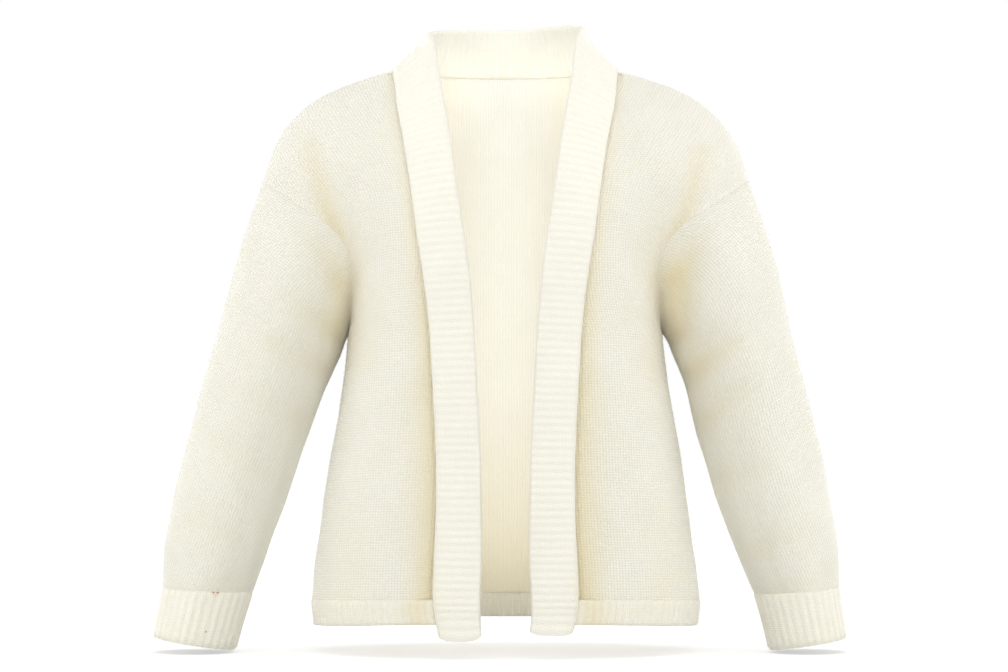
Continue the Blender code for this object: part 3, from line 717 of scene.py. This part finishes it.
def wool_material(name, light, hollow, cell, bump_mm, wales, spots=()):
    """Knitted wool. cell is the size of a stitch, and wales turns rows of V loops on."""
    made = bpy.data.materials.new(name)
    made.use_nodes = True
    tree = made.node_tree
    shader = tree.nodes["Principled BSDF"]
    for socket, value in WOOL_SURFACE.items():
        shader.inputs[socket].default_value = value
    place = add_node(tree, "ShaderNodeUVMap", uv_map="ClothUV").outputs["UV"]
    wander = add_node(tree, "ShaderNodeTexNoise",
                      {"Vector": place, "Scale": WANDER_SCALE, "Detail": 2.0})
    shifted = add_vectors(tree, "SUBTRACT", {0: wander.outputs["Color"], 1: (0.5, 0.5, 0.5)})
    shifted = add_vectors(tree, "SCALE", {0: shifted[0], 3: WANDER})
    moved = add_vectors(tree, "ADD", {0: place, 1: shifted[0]})
    cells = add_node(tree, "ShaderNodeMapping",
                     {"Vector": moved[0],
                      "Scale": (1 / MM / cell[0], 1 / MM / cell[1], 1.0)}).outputs[0]
    if wales:
        parts = add_node(tree, "ShaderNodeSeparateXYZ", {0: cells}).outputs
        fold = add_math(tree, "PINGPONG", parts[0], 0.5)
        lean = add_math(tree, "MULTIPLY_ADD", fold, WALE_LEAN, parts[1])
        loop = add_math(tree, "PINGPONG", lean, 0.5)
        low = add_math(tree, "MULTIPLY", loop, LOOP_HEIGHT)
        height = add_math(tree, "MULTIPLY_ADD", fold, WALE_HEIGHT, low)
    else:
        turned = add_vectors(tree, "SCALE", {0: cells, 3: 2 * math.pi})
        waves = add_vectors(tree, "COSINE", {0: turned[0]})
        height = add_vectors(tree, "DOT_PRODUCT", {0: waves[0], 1: (0.25, 0.25, 0.0)})[1]
        height = add_math(tree, "ADD", height, 0.5)
    fuzz = add_node(tree, "ShaderNodeTexNoise", {"Vector": place, "Scale": FUZZ_SCALE,
                                                 "Detail": 3.0, "Roughness": 0.6})
    height = add_math(tree, "MULTIPLY_ADD", fuzz.outputs["Fac"], FUZZ_HEIGHT, height)
    shade = add_node(tree, "ShaderNodeMapRange",
                     {"Value": height, 1: HOLLOW_LEVEL, 2: RIDGE_LEVEL, 3: 0.0, 4: 1.0})
    cloud = add_node(tree, "ShaderNodeTexNoise",
                     {"Vector": place, "Scale": CLOUD_SCALE, "Detail": 2.0})
    drift = add_math(tree, "MULTIPLY_ADD", cloud.outputs["Fac"], CLOUD, shade.outputs[0])
    drift = add_math(tree, "SUBTRACT", drift, CLOUD / 2, use_clamp=True)
    # Painted shade: the stitch hollows take the darker hollow colour, with a faint cloud of the
    # wool's own tone.
    colour = add_mix(tree, drift, linear(hollow), linear(light))
    for spot_place, radius, strength, spot_colour in spots:
        thing = add_node(tree, "ShaderNodeTexCoord").outputs["Object"]
        off = add_vectors(tree, "DISTANCE", {0: thing, 1: spot_place})[1]
        mark = add_node(tree, "ShaderNodeMapRange",
                        {"Value": off, 1: radius * SPOT_CORE, 2: radius, 3: strength, 4: 0.0},
                        interpolation_type="SMOOTHSTEP")
        colour = add_mix(tree, mark.outputs[0], colour, linear(spot_colour))
    # Painted shade: the shade attribute mixes in the warm, darker fold colour.
    painted_shade_node = add_node(tree, "ShaderNodeAttribute", attribute_name="PaintedShade")
    colour = add_mix(tree, painted_shade_node.outputs["Fac"], colour, linear(WOOL_FOLD_SHADE))
    tree.links.new(colour, shader.inputs["Base Color"])
    bump = add_node(tree, "ShaderNodeBump", {"Height": height, "Distance": bump_mm * MM,
                                             "Strength": 1.0})
    tree.links.new(bump.outputs[0], shader.inputs["Normal"])
    return made


fuzzy_knit = wool_material("lambswool_fuzzy_knit", WOOL_LIGHT, WOOL_HOLLOW_SHADE,
                           (STITCH_WIDE, STITCH_TALL), 0.65, False)
inside_knit = wool_material("lambswool_knit_inside", INSIDE_LIGHT, INSIDE_HOLLOW_SHADE,
                            (WALE, COURSE), 0.4, True)
band_knit = wool_material("lambswool_band_rib", RIB_LIGHT, RIB_HOLLOW_SHADE,
                          (RIB_STITCH, COURSE), 0.25, False)
hem_knit = wool_material("lambswool_hem_rib", WOOL_LIGHT, WOOL_HOLLOW_SHADE,
                         (RIB_STITCH, COURSE), 0.3, False)
print("materials:", [m.name for m in (fuzzy_knit, inside_knit, band_knit, hem_knit)])

# %% [markdown]
# The knit panels come first. A groove runs along each seam but the armholes, where
# both edges stand up a little. Beside the band the panel dips, because the thick
# band pulls the thinner cloth in. The same grid gives the outer face and, moved in
# by the cloth's thickness, the inner face. Where shade falls, in the troughs, beside
# the band and under the arms, the outer colour is painted a warmer, darker shade.

# %% Knit panels
SEAM_GROOVE = 0.6
ARMHOLE_LIFT = 1.1
ARMHOLE_LIFT_BELOW = 12.0
ARMHOLE_CALM = 0.9
ARMHOLE_CALM_WIDTH = 8.0
SEAM_WIDTH = 1.8
BAND_DIP = 3.4
BAND_DIP_WIDTH = 9.0
BAND_DIP_TOP = 60.0
BAND_DIP_SPAN = 330.0
BAND_DIP_LEAST = 0.35
BAND_SHADE = 0.6
BAND_SHADE_WIDE = 0.8
FOLD_DEPTH = 9.0
INSIDE_SHADE = 0.5
INSIDE_SHADE_TOP = -330.0
INSIDE_SHADE_SPAN = 210.0
SIDE_SHADE = 0.3
INSIDE_SHADE_WIDE = 70.0
BODY_SHADES = (
    # place, size and strength of the painted shade where cloth lies close to cloth
    ((-168.0, -50.0, -232.0), (15.0, 60.0, 62.0), 0.5),
    ((168.0, -50.0, -232.0), (15.0, 60.0, 62.0), 0.5),
)
SLEEVE_SHADES = (
    ((-172.0, -50.0, -250.0), (17.0, 60.0, 66.0), 0.5),
    ((172.0, -50.0, -250.0), (17.0, 60.0, 66.0), 0.45),
    ((203.0, -60.0, -304.0), (16.0, 60.0, 30.0), 0.2),
    ((181.0, -60.0, -218.0), (14.0, 60.0, 26.0), 0.2),
)


def border_distance(grid, edge):
    """Distance along the cloth from one border of a grid."""
    if edge in ("first row", "last row"):
        reach = surface_lengths(grid, 0) / MM
        return reach if edge == "first row" else reach[-1:] - reach
    reach = surface_lengths(grid, 1) / MM
    return reach if edge == "first column" else reach[:, -1:] - reach


def is_armhole(edge, closed, band_edges):
    """Whether a border runs along an armhole: a sleeve's top or a panel's side."""
    return edge == "first row" if closed else (
        edge.endswith("column") and edge not in band_edges)


def knit_panel(name, form, rows, cols, closed, seams, band_edges, trough_rows, fold_shades,
               middle):
    """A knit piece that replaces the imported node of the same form."""
    grid = finer(form, rows, cols, closed)
    ways = outward(grid, middle, closed)
    dips = troughs(grid, trough_rows)
    # Painted shade on the outer face: troughs, the strip beside the band and the listed spots.
    painted_shade = dips / FOLD_DEPTH
    for edge in band_edges:
        away = border_distance(grid, edge)
        low = np.clip((BAND_DIP_TOP - grid[..., 2]) / BAND_DIP_SPAN, BAND_DIP_LEAST, 1.0)
        dips += BAND_DIP * low * fade(away, BAND_DIP_WIDTH)
        painted_shade += BAND_SHADE * low * fade(away, BAND_DIP_WIDTH * (BAND_SHADE_WIDE + low))
    painted_shade += shades(grid, fold_shades)
    for edge in seams:
        if is_armhole(edge, closed, band_edges):
            dips *= 1 - ARMHOLE_CALM * fade(border_distance(grid, edge), ARMHOLE_CALM_WIDTH)
    height = swells(grid) - dips
    for edge in seams:
        high = closed | (grid[..., 2] > UNDERARM_Z - ARMHOLE_LIFT_BELOW)
        lift = np.where(is_armhole(edge, closed, band_edges) & high, ARMHOLE_LIFT, -SEAM_GROOVE)
        height += lift * fade(border_distance(grid, edge), SEAM_WIDTH)
    painted_shade = np.clip(painted_shade, 0.0, 1.0)
    # Painted shade on the inner face: darker towards the bottom and towards the sides, where less
    # light reaches.
    low = np.clip((INSIDE_SHADE_TOP - grid[..., 2]) / INSIDE_SHADE_SPAN, 0.0, 1.0)
    sideways = np.clip(np.abs(grid[..., 0]) / INSIDE_SHADE_WIDE, 0.0, 1.0)
    inner_painted_shade = INSIDE_SHADE * low + SIDE_SHADE * sideways**2
    outer = grid + ways * height[..., None]
    inner = outer - ways * SHELL
    piece = sew_shell(name, outer, inner, closed, (fuzzy_knit, inside_knit), painted_shade, inner_painted_shade)
    wrapped = np.concatenate([grid, grid[:, :1]], axis=1) if closed else grid
    flat_wide = border_distance(wrapped, "first column")[:, -1].max() * MM
    flat_tall = border_distance(grid, "first row")[-1].max() * MM
    cells = grid[1:, 1:] - grid[:-1, :-1]
    others = grid[1:, :-1] - grid[:-1, 1:]
    area = 0.5 * np.linalg.norm(np.cross(cells, others), axis=-1).sum() * MM * MM
    print(name, "flat", round(flat_wide, 3), "by", round(flat_tall, 3), "m, area", round(area, 4))
    return piece, (flat_wide, flat_tall), area


BODY_MIDDLE = np.array([0.0, 0.0, UNDERARM_Z])
panel_rows = fine_places(LOWER_ROWS + UPPER_ROWS, 5)
front_cols = fine_places(SHOULDER_COLS, 5)
back_cols = fine_places(2 * (SHOULDER_COLS + NECK_COLS), 5)
all_edges = ("first row", "last row", "first column", "last column")
knit_pieces = {}
for name, form, cols, band_edges in (
    ("left_front", left_front_form, front_cols, ("last column",)),
    ("right_front", right_front_form, front_cols, ("first column",)),
    ("back_panel", back_form, back_cols, ()),
):
    knit_pieces[name] = knit_panel(name + "_knit", form, panel_rows, cols, False, all_edges,
                                   band_edges, TROUGH_ROWS, BODY_SHADES, BODY_MIDDLE)

sleeve_rows = fine_places(SLEEVE_ROWS, 6)
sleeve_cols = np.arange(0, 24, 1 / 6)
for name, form in (("right_sleeve", right_sleeve_form), ("left_sleeve", left_sleeve_form)):
    knit_pieces[name] = knit_panel(name + "_knit", form, sleeve_rows, sleeve_cols, True,
                                   ("first row", "last row"), (), SLEEVE_TROUGH_ROWS,
                                   SLEEVE_SHADES, form.reshape(-1, 3).mean(axis=0))

# %% [markdown]
# A rib is a row of rounded ridges with narrow hollows between them, and it looks the
# same from both faces with its ridges in each other's places. Here a strip of the
# form is read at ten places to a rib, and its two faces are moved out along a
# rounded wave. The free edge is rolled over, because knitted edges are never sharp.

# %% Ribbed strips
RIB_SAMPLES = 10
RIB_SHADE = 0.08
RIB_ROUND = 0.75
RIB_RISE = 4.0
RIB_AT_EDGE = 0.35
RIB_UNEVEN = 0.18
RIB_UNEVEN_TURN = 2.1
THIN_EDGE = 0.02
# Painted shade on the ribs beside the band's lower ends.
HEM_SHADES = (
    ((-91.0, -121.0, -572.0), (16.0, 30.0, 60.0), 0.5),
    ((92.0, -121.0, -572.0), (16.0, 30.0, 60.0), 0.5),
)
BAND_LINES = (0.0, 0.015, 0.035, 0.07, 0.2, 0.4, 0.6, 0.8, 0.93, 0.965, 0.985, 1.0)
HEM_LINES = (0.0, 0.06, 0.14, 0.28, 0.5, 0.72, 0.86, 0.94, 1.0)


def rib_wave(count, phase):
    """Height of a rounded rib at each sample, from 0 in the hollow to 1 on the ridge."""
    turn = 2 * math.pi * (np.arange(count) / RIB_SAMPLES + phase)
    return (0.5 - 0.5 * np.cos(turn))**RIB_ROUND


def rib_strip(name, lines, ways, ribs, closed, centre, half, rib, roll, roll_start, wool):
    """A ribbed strip. lines run along it, one after another from seam to free edge."""
    count = ribs * RIB_SAMPLES
    if closed:
        lines = np.concatenate([lines, lines[:, :1]], axis=1)
        ways = np.concatenate([ways, ways[:, :1]], axis=1)
    reach = lengths_along(lines[0])
    at = np.linspace(0.0, reach[-1], count + 1)
    if closed:
        at = at[:-1]
    rows = np.array([smooth_table(reach, line, at) for line in lines])
    squares = np.array([unit(smooth_table(reach, way, at)) for way in ways])
    cross = border_distance(rows, "first row").mean(axis=1)
    left = cross[-1] - cross
    free = np.sqrt(np.clip(1 - np.clip(1 - left / roll, 0.0, 1.0)**2, THIN_EDGE, 1.0))
    sewn = np.sqrt(np.clip(1 - np.clip(1 - cross / roll, 0.0, 1.0)**2, 0.0, 1.0))
    sewn = roll_start + (1 - roll_start) * sewn
    thick = (free * sewn)[:, None]
    at_edge = RIB_AT_EDGE + (1 - RIB_AT_EDGE) * free[:, None]
    grow = np.clip(cross / RIB_RISE, 0.0, 1.0)[:, None] * at_edge
    turn = np.arange(rows.shape[1]) / RIB_SAMPLES * RIB_UNEVEN_TURN
    uneven = 1 + RIB_UNEVEN * np.sin(turn)[None, :]
    ridge = rib_wave(rows.shape[1], 0.0)[None, :]
    out_wave = ridge * rib * grow * uneven
    in_wave = rib_wave(rows.shape[1], 0.5)[None, :] * rib * grow * uneven
    soft = swells(rows)
    # Painted shade: the hollows between ribs and the listed spots get the darker fold colour.
    painted_shade = RIB_SHADE * (1 - ridge) * grow + shades(rows, HEM_SHADES)
    outer = rows + squares * (centre + half * thick + out_wave + soft - 0.5 * rib)[..., None]
    inner = rows + squares * (centre - half * thick - in_wave + soft + 0.5 * rib)[..., None]
    piece = sew_shell(name, outer, inner, closed, (wool, wool), painted_shade, painted_shade)
    size = (reach[-1] * MM, cross[-1] * MM)
    print(name, "flat", round(size[0], 3), "by", round(size[1], 3), "m with", ribs, "ribs")
    return piece, size


print("a rib is read at", RIB_SAMPLES, "places")

# %% [markdown]
# The band is one long strip, sewn up one front, round the back neck and down the
# other. Its sewn edge follows the fronts, and a short table says how it stands from
# there: flat on the chest, then rising into a low collar behind the neck.

# %% Front band
BAND_CENTRE = -0.6
BAND_HALF = 2.6
BAND_RIB = 0.65
BAND_ROLL = 2.6
BAND_SEWN_EDGE = 0.1
CORNER_LIFT = 6.0
FAR_CORNER = 0.7


def band_half(side, end_z):
    """Half of the band's sewn edge, the way across it and its bow."""
    hem_end = body_row(HEM_END_Z, True)[-1]
    edges = np.asarray(LOW_EDGE_ROWS)
    end_x = smooth_table(edges[:, 0], edges[:, 1:], [end_z - FRONT_HEM_LIFT])[0][0]
    end = np.array([end_x, hem_end[1], end_z])
    half = np.vstack([end, hem_end, left_front_form[:, -1], neck_line()[1:]])
    reach = lengths_along(half)
    share = reach / reach[-1]
    rows = np.asarray(BAND_ROWS)
    inward, forward, up, bow = smooth_table(rows[:, 0], rows[:, 1:], share).T
    if side > 0:
        up = up + LEFT_COLLAR_RISE * fade(share - COLLAR_RISE_AT, COLLAR_RISE_SPAN)
    return half * [side, 1, 1], np.stack([-side * inward, -forward, up], axis=1), bow


first = band_half(-1.0, RIGHT_BAND_END_Z)
second = band_half(1.0, LEFT_BAND_END_Z)
seam_line, band_ways, bows = (np.concatenate([a, b[::-1][1:]]) for a, b in zip(first, second))
square = unit(np.cross(unit(np.gradient(seam_line, axis=0)), band_ways))
if square[0, 1] > 0:
    square = -square
for _ in range(4):
    square = unit(evened_line(square))
band_lines = np.array([seam_line + band_ways * share for share in BAND_LINES])
for line, share in zip(band_lines, BAND_LINES):
    line += square * (bows * 4 * share * (1 - share))[:, None]
    for end, lift in ((0, CORNER_LIFT), (-1, FAR_CORNER * CORNER_LIFT)):
        line[end, 2] += lift * abs(2 * share - 1)**5
band_squares = np.array([square] * len(BAND_LINES))
band_ribs = int(round(lengths_along(seam_line)[-1] / RIB_PITCH))
band, band_size = rib_strip("front_band_rib", band_lines, band_squares, band_ribs, False,
                            BAND_CENTRE, BAND_HALF, BAND_RIB, BAND_ROLL, BAND_SEWN_EDGE,
                            band_knit)

# %% [markdown]
# The hem and the cuffs are the same rib, knitted on to the panels, so they start
# flush with them and their ridges rise over the first few millimetres. They end in
# the same soft roll.

# %% Hem and cuffs
RIB_CENTRE = -1.3
RIB_HALF = 1.3
RIB_ROLL = 1.3
RIB_SEWN_EDGE = 1.0
HEM_RIB = 1.1
CUFF_RIB = 1.3


def hem_lines(front):
    """Rows across a hem rib from its seam down, for the +X side."""
    heights = [HEM_RIB_TOP_Z + (HEM_END_Z - HEM_RIB_TOP_Z) * share for share in HEM_LINES]
    return np.array([body_row(z, front) for z in heights])


hem_front = hem_lines(True)
hem_back_half = hem_lines(False)
hem_back = np.concatenate([hem_back_half, mirrored(hem_back_half)[:, 1:]], axis=1)
rib_pieces = {"front_band": (band, band_size)}
for name, lines in (
    ("left_hem_rib", hem_front),
    ("right_hem_rib", mirrored(hem_front)),
    ("back_hem_rib", hem_back),
):
    ways = outward(lines, BODY_MIDDLE + np.array([0.0, 0.0, HEM_END_Z - UNDERARM_Z]))
    ribs = int(round(lengths_along(lines[0])[-1] / RIB_PITCH))
    rib_pieces[name] = rib_strip(name + "_knit", lines, ways, ribs, False,
                                 RIB_CENTRE, RIB_HALF, HEM_RIB, RIB_ROLL, RIB_SEWN_EDGE,
                                 hem_knit)
for name, form in (("right_cuff", right_cuff_form), ("left_cuff", left_cuff_form)):
    at = np.array(HEM_LINES) * (len(form) - 1)
    lines = smooth_table(np.arange(len(form)), form.reshape(len(form), -1), at)
    lines = lines.reshape(len(at), -1, 3)
    ways = outward(lines, lines.reshape(-1, 3).mean(axis=0), True)
    rib_pieces[name] = rib_strip(name + "_knit", lines, ways, CUFF_RIBS, True,
                                 RIB_CENTRE, RIB_HALF, CUFF_RIB, RIB_ROLL, RIB_SEWN_EDGE,
                                 hem_knit)

# %% [markdown]
# The photograph shows a few tiny brown marks on the wearer's right cuff, the two
# largest side by side in one pinkish ring. Each is put on the cloth by looking for
# the cuff point that lies in front at its place.

# %% Marks on the right cuff
MARK_ROWS = (
    # x, z, radius, strength, colour
    (-305.5, -547.0, 7.5, 0.35, "#E6C3A2"),
    (-308.0, -547.0, 1.9, 0.85, "#7F5233"),
    (-303.6, -547.0, 1.9, 0.85, "#7F5233"),
    (-316.0, -590.0, 1.6, 0.7, "#9C7150"),
)
FRONT_Y = -0.02
TOO_FAR = 0.2
FORWARD_PULL = 0.01


def cloth_point(piece, x, z):
    """The place, in metres, of the point of a piece that lies in front at x and z."""
    points = np.empty(3 * len(piece.data.vertices))
    piece.data.vertices.foreach_get("co", points)
    points = points.reshape(-1, 3)[:len(piece.data.vertices) // 2]
    away = np.hypot(points[:, 0] - x * MM, points[:, 2] - z * MM)
    away += TOO_FAR * (points[:, 1] > FRONT_Y) + FORWARD_PULL * points[:, 1]
    return tuple(float(part) for part in points[np.argmin(away)])


right_cuff = rib_pieces["right_cuff"][0]
marks = [(cloth_point(right_cuff, x, z), radius * MM, strength, colour)
         for x, z, radius, strength, colour in MARK_ROWS]
marked_knit = wool_material("lambswool_marked_cuff_rib", WOOL_LIGHT, WOOL_HOLLOW_SHADE,
                            (RIB_STITCH, COURSE), 0.3, False, marks)
for slot in range(2):
    right_cuff.data.materials[slot] = marked_knit
print("marks on the cuff:", len(marks))

# %% [markdown]
# Lambswool is never quite smooth: short loose hairs stand off it and soften its
# outline. Each hair is one long, thin triangle that starts on the cloth and leans
# at random. A fixed seed gives the same hairs each time.

# %% Fuzz
HAIRS = 90000
HAIR_LENGTH = (1.2, 3.4)
HAIR_WIDTH = 0.16
HAIR_LEAN = 0.65
HAIR_RISE = 0.15
HAIR_SCATTER = 0.8
HAIR_COLOUR = "#FAF8F0"
SEED = 11


def fuzz_hairs(bases, count, rng):
    """Hairs on the outer faces of some pieces, as one mesh of thin triangles."""
    spots = []
    ways = []
    for base in bases:
        mesh = base.data
        points = np.empty(3 * len(mesh.vertices))
        mesh.vertices.foreach_get("co", points)
        normals = np.empty(3 * len(mesh.vertices))
        mesh.vertex_normals.foreach_get("vector", normals)
        half = len(mesh.vertices) // 2
        spots.append(points.reshape(-1, 3)[:half])
        ways.append(normals.reshape(-1, 3)[:half])
    spots = np.concatenate(spots)
    ways = np.concatenate(ways)
    chosen = rng.integers(0, len(spots), count)
    across = unit(rng.normal(size=(count, 3)))
    lean = unit(ways[chosen] + HAIR_LEAN * rng.normal(size=(count, 3)))
    outward_part = np.sum(lean * ways[chosen], axis=1, keepdims=True)
    lean = unit(lean + ways[chosen] * np.clip(HAIR_RISE - outward_part, 0.0, None) * 2)
    length = rng.uniform(*HAIR_LENGTH, size=(count, 1)) * MM
    shift = across - lean * np.sum(across * lean, axis=1, keepdims=True)
    side = unit(shift) * HAIR_WIDTH * 0.5 * MM
    root = spots[chosen] + rng.normal(size=(count, 3)) * HAIR_SCATTER * MM
    root -= ways[chosen] * np.sum((root - spots[chosen]) * ways[chosen], axis=1, keepdims=True)
    corners = np.stack([root - side, root + side, root + lean * length], axis=1)
    mesh = bpy.data.meshes.new("wool_fuzz")
    numbers = np.arange(3 * count).reshape(-1, 3)
    mesh.from_pydata(corners.reshape(-1, 3).tolist(), [], numbers.tolist())
    mesh.update()
    made = bpy.data.objects.new("wool_fuzz", mesh)
    bpy.context.scene.collection.objects.link(made)
    return made


hair = bpy.data.materials.new("lambswool_hair")
hair.use_nodes = True
hair_shader = hair.node_tree.nodes["Principled BSDF"]
hair_shader.inputs["Base Color"].default_value = linear(HAIR_COLOUR)
hair_shader.inputs["Roughness"].default_value = 0.8
hair_shader.inputs["Specular IOR Level"].default_value = 0.2
fuzzy_bases = [found[0] for found in (*knit_pieces.values(), *rib_pieces.values())]
fuzz = fuzz_hairs(fuzzy_bases, HAIRS, np.random.default_rng(SEED))
fuzz.data.materials.append(hair)
print("hairs:", len(fuzz.data.polygons))

# %% [markdown]
# Each finished piece rides on the garment's one body and stands in for its imported
# node, which is hidden.

# %% Put the pieces in the frame
for node, (piece, size, area) in knit_pieces.items():
    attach(piece, "root")
    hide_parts(node)
for node, (piece, size) in rib_pieces.items():
    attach(piece, "root")
    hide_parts(node)
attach(fuzz, "root")
print("pieces in the frame:", len(knit_pieces) + len(rib_pieces) + 1)

# %% [markdown]
# The picture is a plain studio one: a white floor that runs into a white surround
# with no horizon. The paper is a mid tone that throws only a little light up at the
# garment, and a glow that only the camera sees lifts it to white, so that the
# shadows on it stay faint.

# %% Floor
FLOOR_Z = -0.6125
PAPER = "#CECECE"
PAPER_GLOW = 0.5
PAPER_SIZE = 60.0

bpy.ops.object.select_all(action="DESELECT")
bpy.ops.mesh.primitive_plane_add(size=PAPER_SIZE, location=(0.0, 0.0, FLOOR_Z))
floor = bpy.context.object
floor.name = "white_floor"
paper = bpy.data.materials.new("white_studio_paper")
paper.use_nodes = True
paper_tree = paper.node_tree
paper_shader = paper_tree.nodes["Principled BSDF"]
paper_shader.inputs["Base Color"].default_value = linear(PAPER)
paper_shader.inputs["Roughness"].default_value = 0.95
paper_shader.inputs["Specular IOR Level"].default_value = 0.0
paper_shader.inputs["Emission Color"].default_value = (1.0, 1.0, 1.0, 1.0)
seen = add_node(paper_tree, "ShaderNodeLightPath").outputs["Is Camera Ray"]
glow = add_math(paper_tree, "MULTIPLY", seen, PAPER_GLOW)
paper_tree.links.new(glow, paper_shader.inputs["Emission Strength"])
floor.data.materials.append(paper)
print("floor at", FLOOR_Z, "m")

# %% [markdown]
# The picture has almost no shadow, so light comes from all round: a broad panel on
# each side of the camera, others at the sides and behind, and a wide soft sun from
# above. The hollow inside would still be dark, so a small lamp hangs in it,
# behind the fronts, and lights the back. The surround looks white but gives only part
# of the light, so that folds keep their shade.

# %% Lights
SURROUND = 0.5
AIM = (0.0, 0.0, -0.27)
PANEL_ROWS = (
    # name, x, y, z, size, level; each panel has a twin on the other side
    ("front_panel", 2.6, -3.4, -0.15, 1.4, 0.235),
    ("fill", 3.0, -0.7, 0.1, 1.8, 0.27),
    ("back_fill", 2.2, 2.4, 0.0, 1.8, 0.34),
)
TOP_LEVEL = 0.34
TOP_PLACE = (0.0, -0.35, 3.0)
TOP_WIDE = 50.0
INNER_LEVEL = 1.85
INNER_PLACE = (0.0, 0.0, -0.26)
INNER_AIM = (0.0, 0.11, -0.26)
INNER_SIZE = (0.18, 0.6)
INNER_SPREAD = 110.0


def white_surround():
    """A surround that the camera sees as white and that lights the cloth softly."""
    world = bpy.data.worlds.new("white_surround")
    bpy.context.scene.world = world
    world.use_nodes = True
    tree = world.node_tree
    path = add_node(tree, "ShaderNodeLightPath")
    level = add_node(tree, "ShaderNodeMapRange",
                     {"Value": path.outputs["Is Camera Ray"], 3: SURROUND, 4: 1.0})
    ground = tree.nodes["Background"]
    ground.inputs["Color"].default_value = (1.0, 1.0, 1.0, 1.0)
    tree.links.new(level.outputs[0], ground.inputs["Strength"])


def aim(lamp, place, at):
    """Turn a lamp at a place to look at a point."""
    way = np.asarray(at, float) - np.asarray(place, float)
    lamp.rotation_euler = (math.atan2(math.hypot(way[0], way[1]), -way[2]), 0.0,
                           math.atan2(way[1], way[0]) - math.pi / 2)


def soft_panel(name, place, at, wide, tall, level):
    """A soft light that gives a white card at the aimed point this brightness."""
    bpy.ops.object.light_add(type="AREA", location=place)
    lamp = bpy.context.object
    lamp.name = name
    lamp.data.shape = "RECTANGLE"
    lamp.data.size = wide
    lamp.data.size_y = tall
    away = math.dist(place, at)
    lamp.data.energy = level * math.pi**2 * away**2
    lamp.visible_camera = False
    aim(lamp, place, at)
    return lamp


white_surround()
for name, x, y, z, size, level in PANEL_ROWS:
    for side_name, side in (("right", -1.0), ("left", 1.0)):
        soft_panel(f"{side_name}_{name}", (side * x, y, z), AIM, size, size, level)
inner_lamp = soft_panel("inner_lamp", INNER_PLACE, INNER_AIM, *INNER_SIZE, INNER_LEVEL)
inner_lamp.data.spread = math.radians(INNER_SPREAD)
bpy.ops.object.light_add(type="SUN", location=TOP_PLACE)
top_light = bpy.context.object
top_light.name = "top_light"
top_light.data.angle = math.radians(TOP_WIDE)
top_light.data.energy = TOP_LEVEL * math.pi
aim(top_light, TOP_PLACE, (0.0, 0.0, 0.0))

# %% [markdown]
# The photograph looks straight at the front from a few metres away, level with the
# chest, through a long lens. The lens is worked out from the size of one image point
# at the garment.

# %% Camera
IMAGE_WIDE = 1008
POINT_SIZE = 0.00107
CAMERA_AWAY = 4.0
CAMERA_X = -0.0016
CAMERA_Z = -0.276
SENSOR = 36.0

camera_data = bpy.data.cameras.new("studio_camera")
camera_data.sensor_width = SENSOR
camera_data.lens = SENSOR * CAMERA_AWAY / (IMAGE_WIDE * POINT_SIZE)
camera = bpy.data.objects.new("studio_camera", camera_data)
bpy.context.scene.collection.objects.link(camera)
camera.location = (CAMERA_X, -CAMERA_AWAY, CAMERA_Z)
camera.rotation_euler = (math.pi / 2, 0.0, 0.0)
bpy.context.scene.camera = camera
bpy.context.scene.view_settings.view_transform = "Standard"
print("lens:", round(camera_data.lens, 1), "mm")
